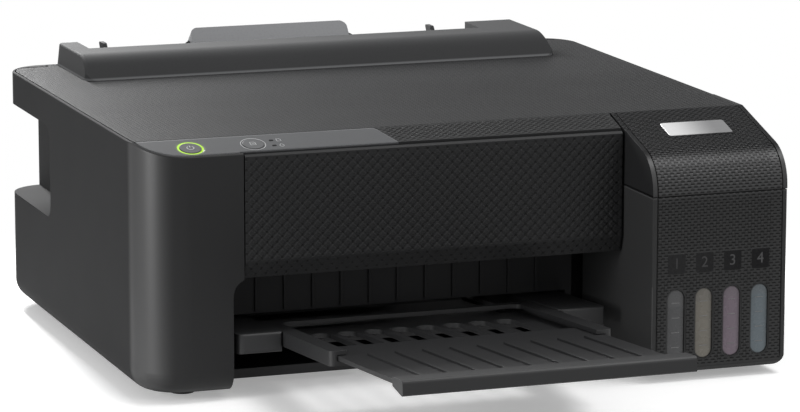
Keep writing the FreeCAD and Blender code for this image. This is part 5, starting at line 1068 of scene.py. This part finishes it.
# The plate is open under the feed button, so its face is found just in front of the hole
plate_signs = bmesh.new()
before_hole = lying_on("control_panel", FEED_AT[0], FEED_AT[1] - FEED_HOLE)
spot = shifted(before_hole, 0.0, FEED_HOLE / math.cos(SLOPE))
add_band(plate_signs, *(circle(r) for r in FEED_CIRCLE), spot, PLATE_SIGN)
for row, outline in zip(SIGN_ROWS, (SMALL_SHEET, INK_DROP)):
    sign_place = shifted(spot, SIGN_X, row)
    add_stroke(plate_signs, sign_place, outline, 0.35, PLATE_SIGN, closed=True)
piece("plate_signs", plate_signs, "body", white_print)

lamps = bmesh.new()
for row in SIGN_ROWS:
    lamp_place = shifted(spot, LAMP_X, row)
    add_plate(lamps, round_rect(2.6, 1.6, 0.6), lamp_place, low=-0.05, high=0.08, edge=0.04)
piece("lamp_windows", lamps, "body", lamp_window)


# Floor, light and camera

def floor():
    """Pale floor that keeps the printer's shadow and fades out to the white surround."""
    bm = bmesh.new()
    bmesh.ops.create_circle(bm, cap_ends=True, segments=96, radius=FLOOR_SIZE)
    mesh = bpy.data.meshes.new("floor")
    bm.to_mesh(mesh)
    bm.free()
    finish = Finish("pale_floor", (0.93, 0.93, 0.93), 0.9, 0.0)
    finish.set("Emission Color", (1, 1, 1, 1)).set("Emission Strength", FLOOR_GLOW)
    x, y, _ = finish.place()
    far = radius_from(x * 0.9, y, FLOOR_MIDDLE).rise(*FLOOR_FADE)
    clear = finish.add("ShaderNodeBsdfTransparent")
    mix = finish.add("ShaderNodeMixShader")
    finish.link(far.socket, mix.inputs[0])
    finish.link(finish.shader.outputs[0], mix.inputs[1])
    finish.link(clear.outputs[0], mix.inputs[2])
    finish.link(mix.outputs[0], finish.tree.nodes["Material Output"].inputs["Surface"])
    mesh.materials.append(finish.material)
    made = bpy.data.objects.new("floor", mesh)
    bpy.context.scene.collection.objects.link(made)


def surround():
    """White to the eye and to mirrors and glass, a soft even light to everything else."""
    world = bpy.data.worlds.new("surround")
    world.use_nodes = True
    tree = world.node_tree
    path = tree.nodes.new("ShaderNodeLightPath").outputs
    seen = Field(tree, path["Is Camera Ray"]).highest(Field(tree, path["Is Transmission Ray"]))
    mirrored = Field(tree, path["Is Glossy Ray"])
    strength = seen.highest(mirrored) * (1 - EVEN_LIGHT) + EVEN_LIGHT
    background = tree.nodes["Background"]
    background.inputs["Color"].default_value = (1, 1, 1, 1)
    tree.links.new(strength.socket, background.inputs["Strength"])
    bpy.context.scene.world = world


def turned(place, aim):
    """Turn of a lamp or camera that looks from a place to an aim."""
    return (Vector(aim) - Vector(place)).to_track_quat("-Z", "Y")


def softbox(name, place, aim, size, power):
    """Flat lamp turned to what it lights, not itself in view; metres and watts."""
    lamp = bpy.data.lights.new(name, "AREA")
    lamp.shape = "RECTANGLE"
    lamp.size, lamp.size_y = size
    lamp.energy = power
    made = bpy.data.objects.new(name, lamp)
    made.location = place
    made.rotation_euler = turned(place, aim).to_euler()
    made.visible_camera = False
    bpy.context.scene.collection.objects.link(made)


def camera():
    data = bpy.data.cameras.new("photo_camera")
    data.sensor_fit = "HORIZONTAL"
    data.sensor_width = 36.0
    data.lens = CAMERA_LENS
    data.clip_end = 20.0
    made = bpy.data.objects.new("photo_camera", data)
    turn = turned(CAMERA_PLACE, CAMERA_AIM).to_matrix() @ Matrix.Rotation(CAMERA_ROLL, 3, "Z")
    made.matrix_world = Matrix.Translation(CAMERA_PLACE) @ turn.to_4x4()
    bpy.context.scene.collection.objects.link(made)
    bpy.context.scene.camera = made


floor()
surround()
softbox("overhead", (0.6, -0.3, 1.4), (0.1, 0.0, 0.1), (0.6, 0.6), 10.0)
softbox("left_strip", (-1.75, -0.42, 0.35), (-0.15, 0.0, 0.1), (0.5, 0.9), 18.0)
softbox("back_left", (-0.15, 0.8, 0.5), (-0.1, 0.05, 0.15), (0.08, 0.4), 14.0)
softbox("front_fill", (0.6, -1.9, 0.9), (0.0, 0.05, 0.08), (1.2, 1.2), 3.0)
softbox("front_top", (0.5, -1.2, 1.2), (0.1, 0.0, 0.1), (0.8, 0.8), 3.0)
camera()
bpy.context.scene.view_settings.view_transform = "Standard"
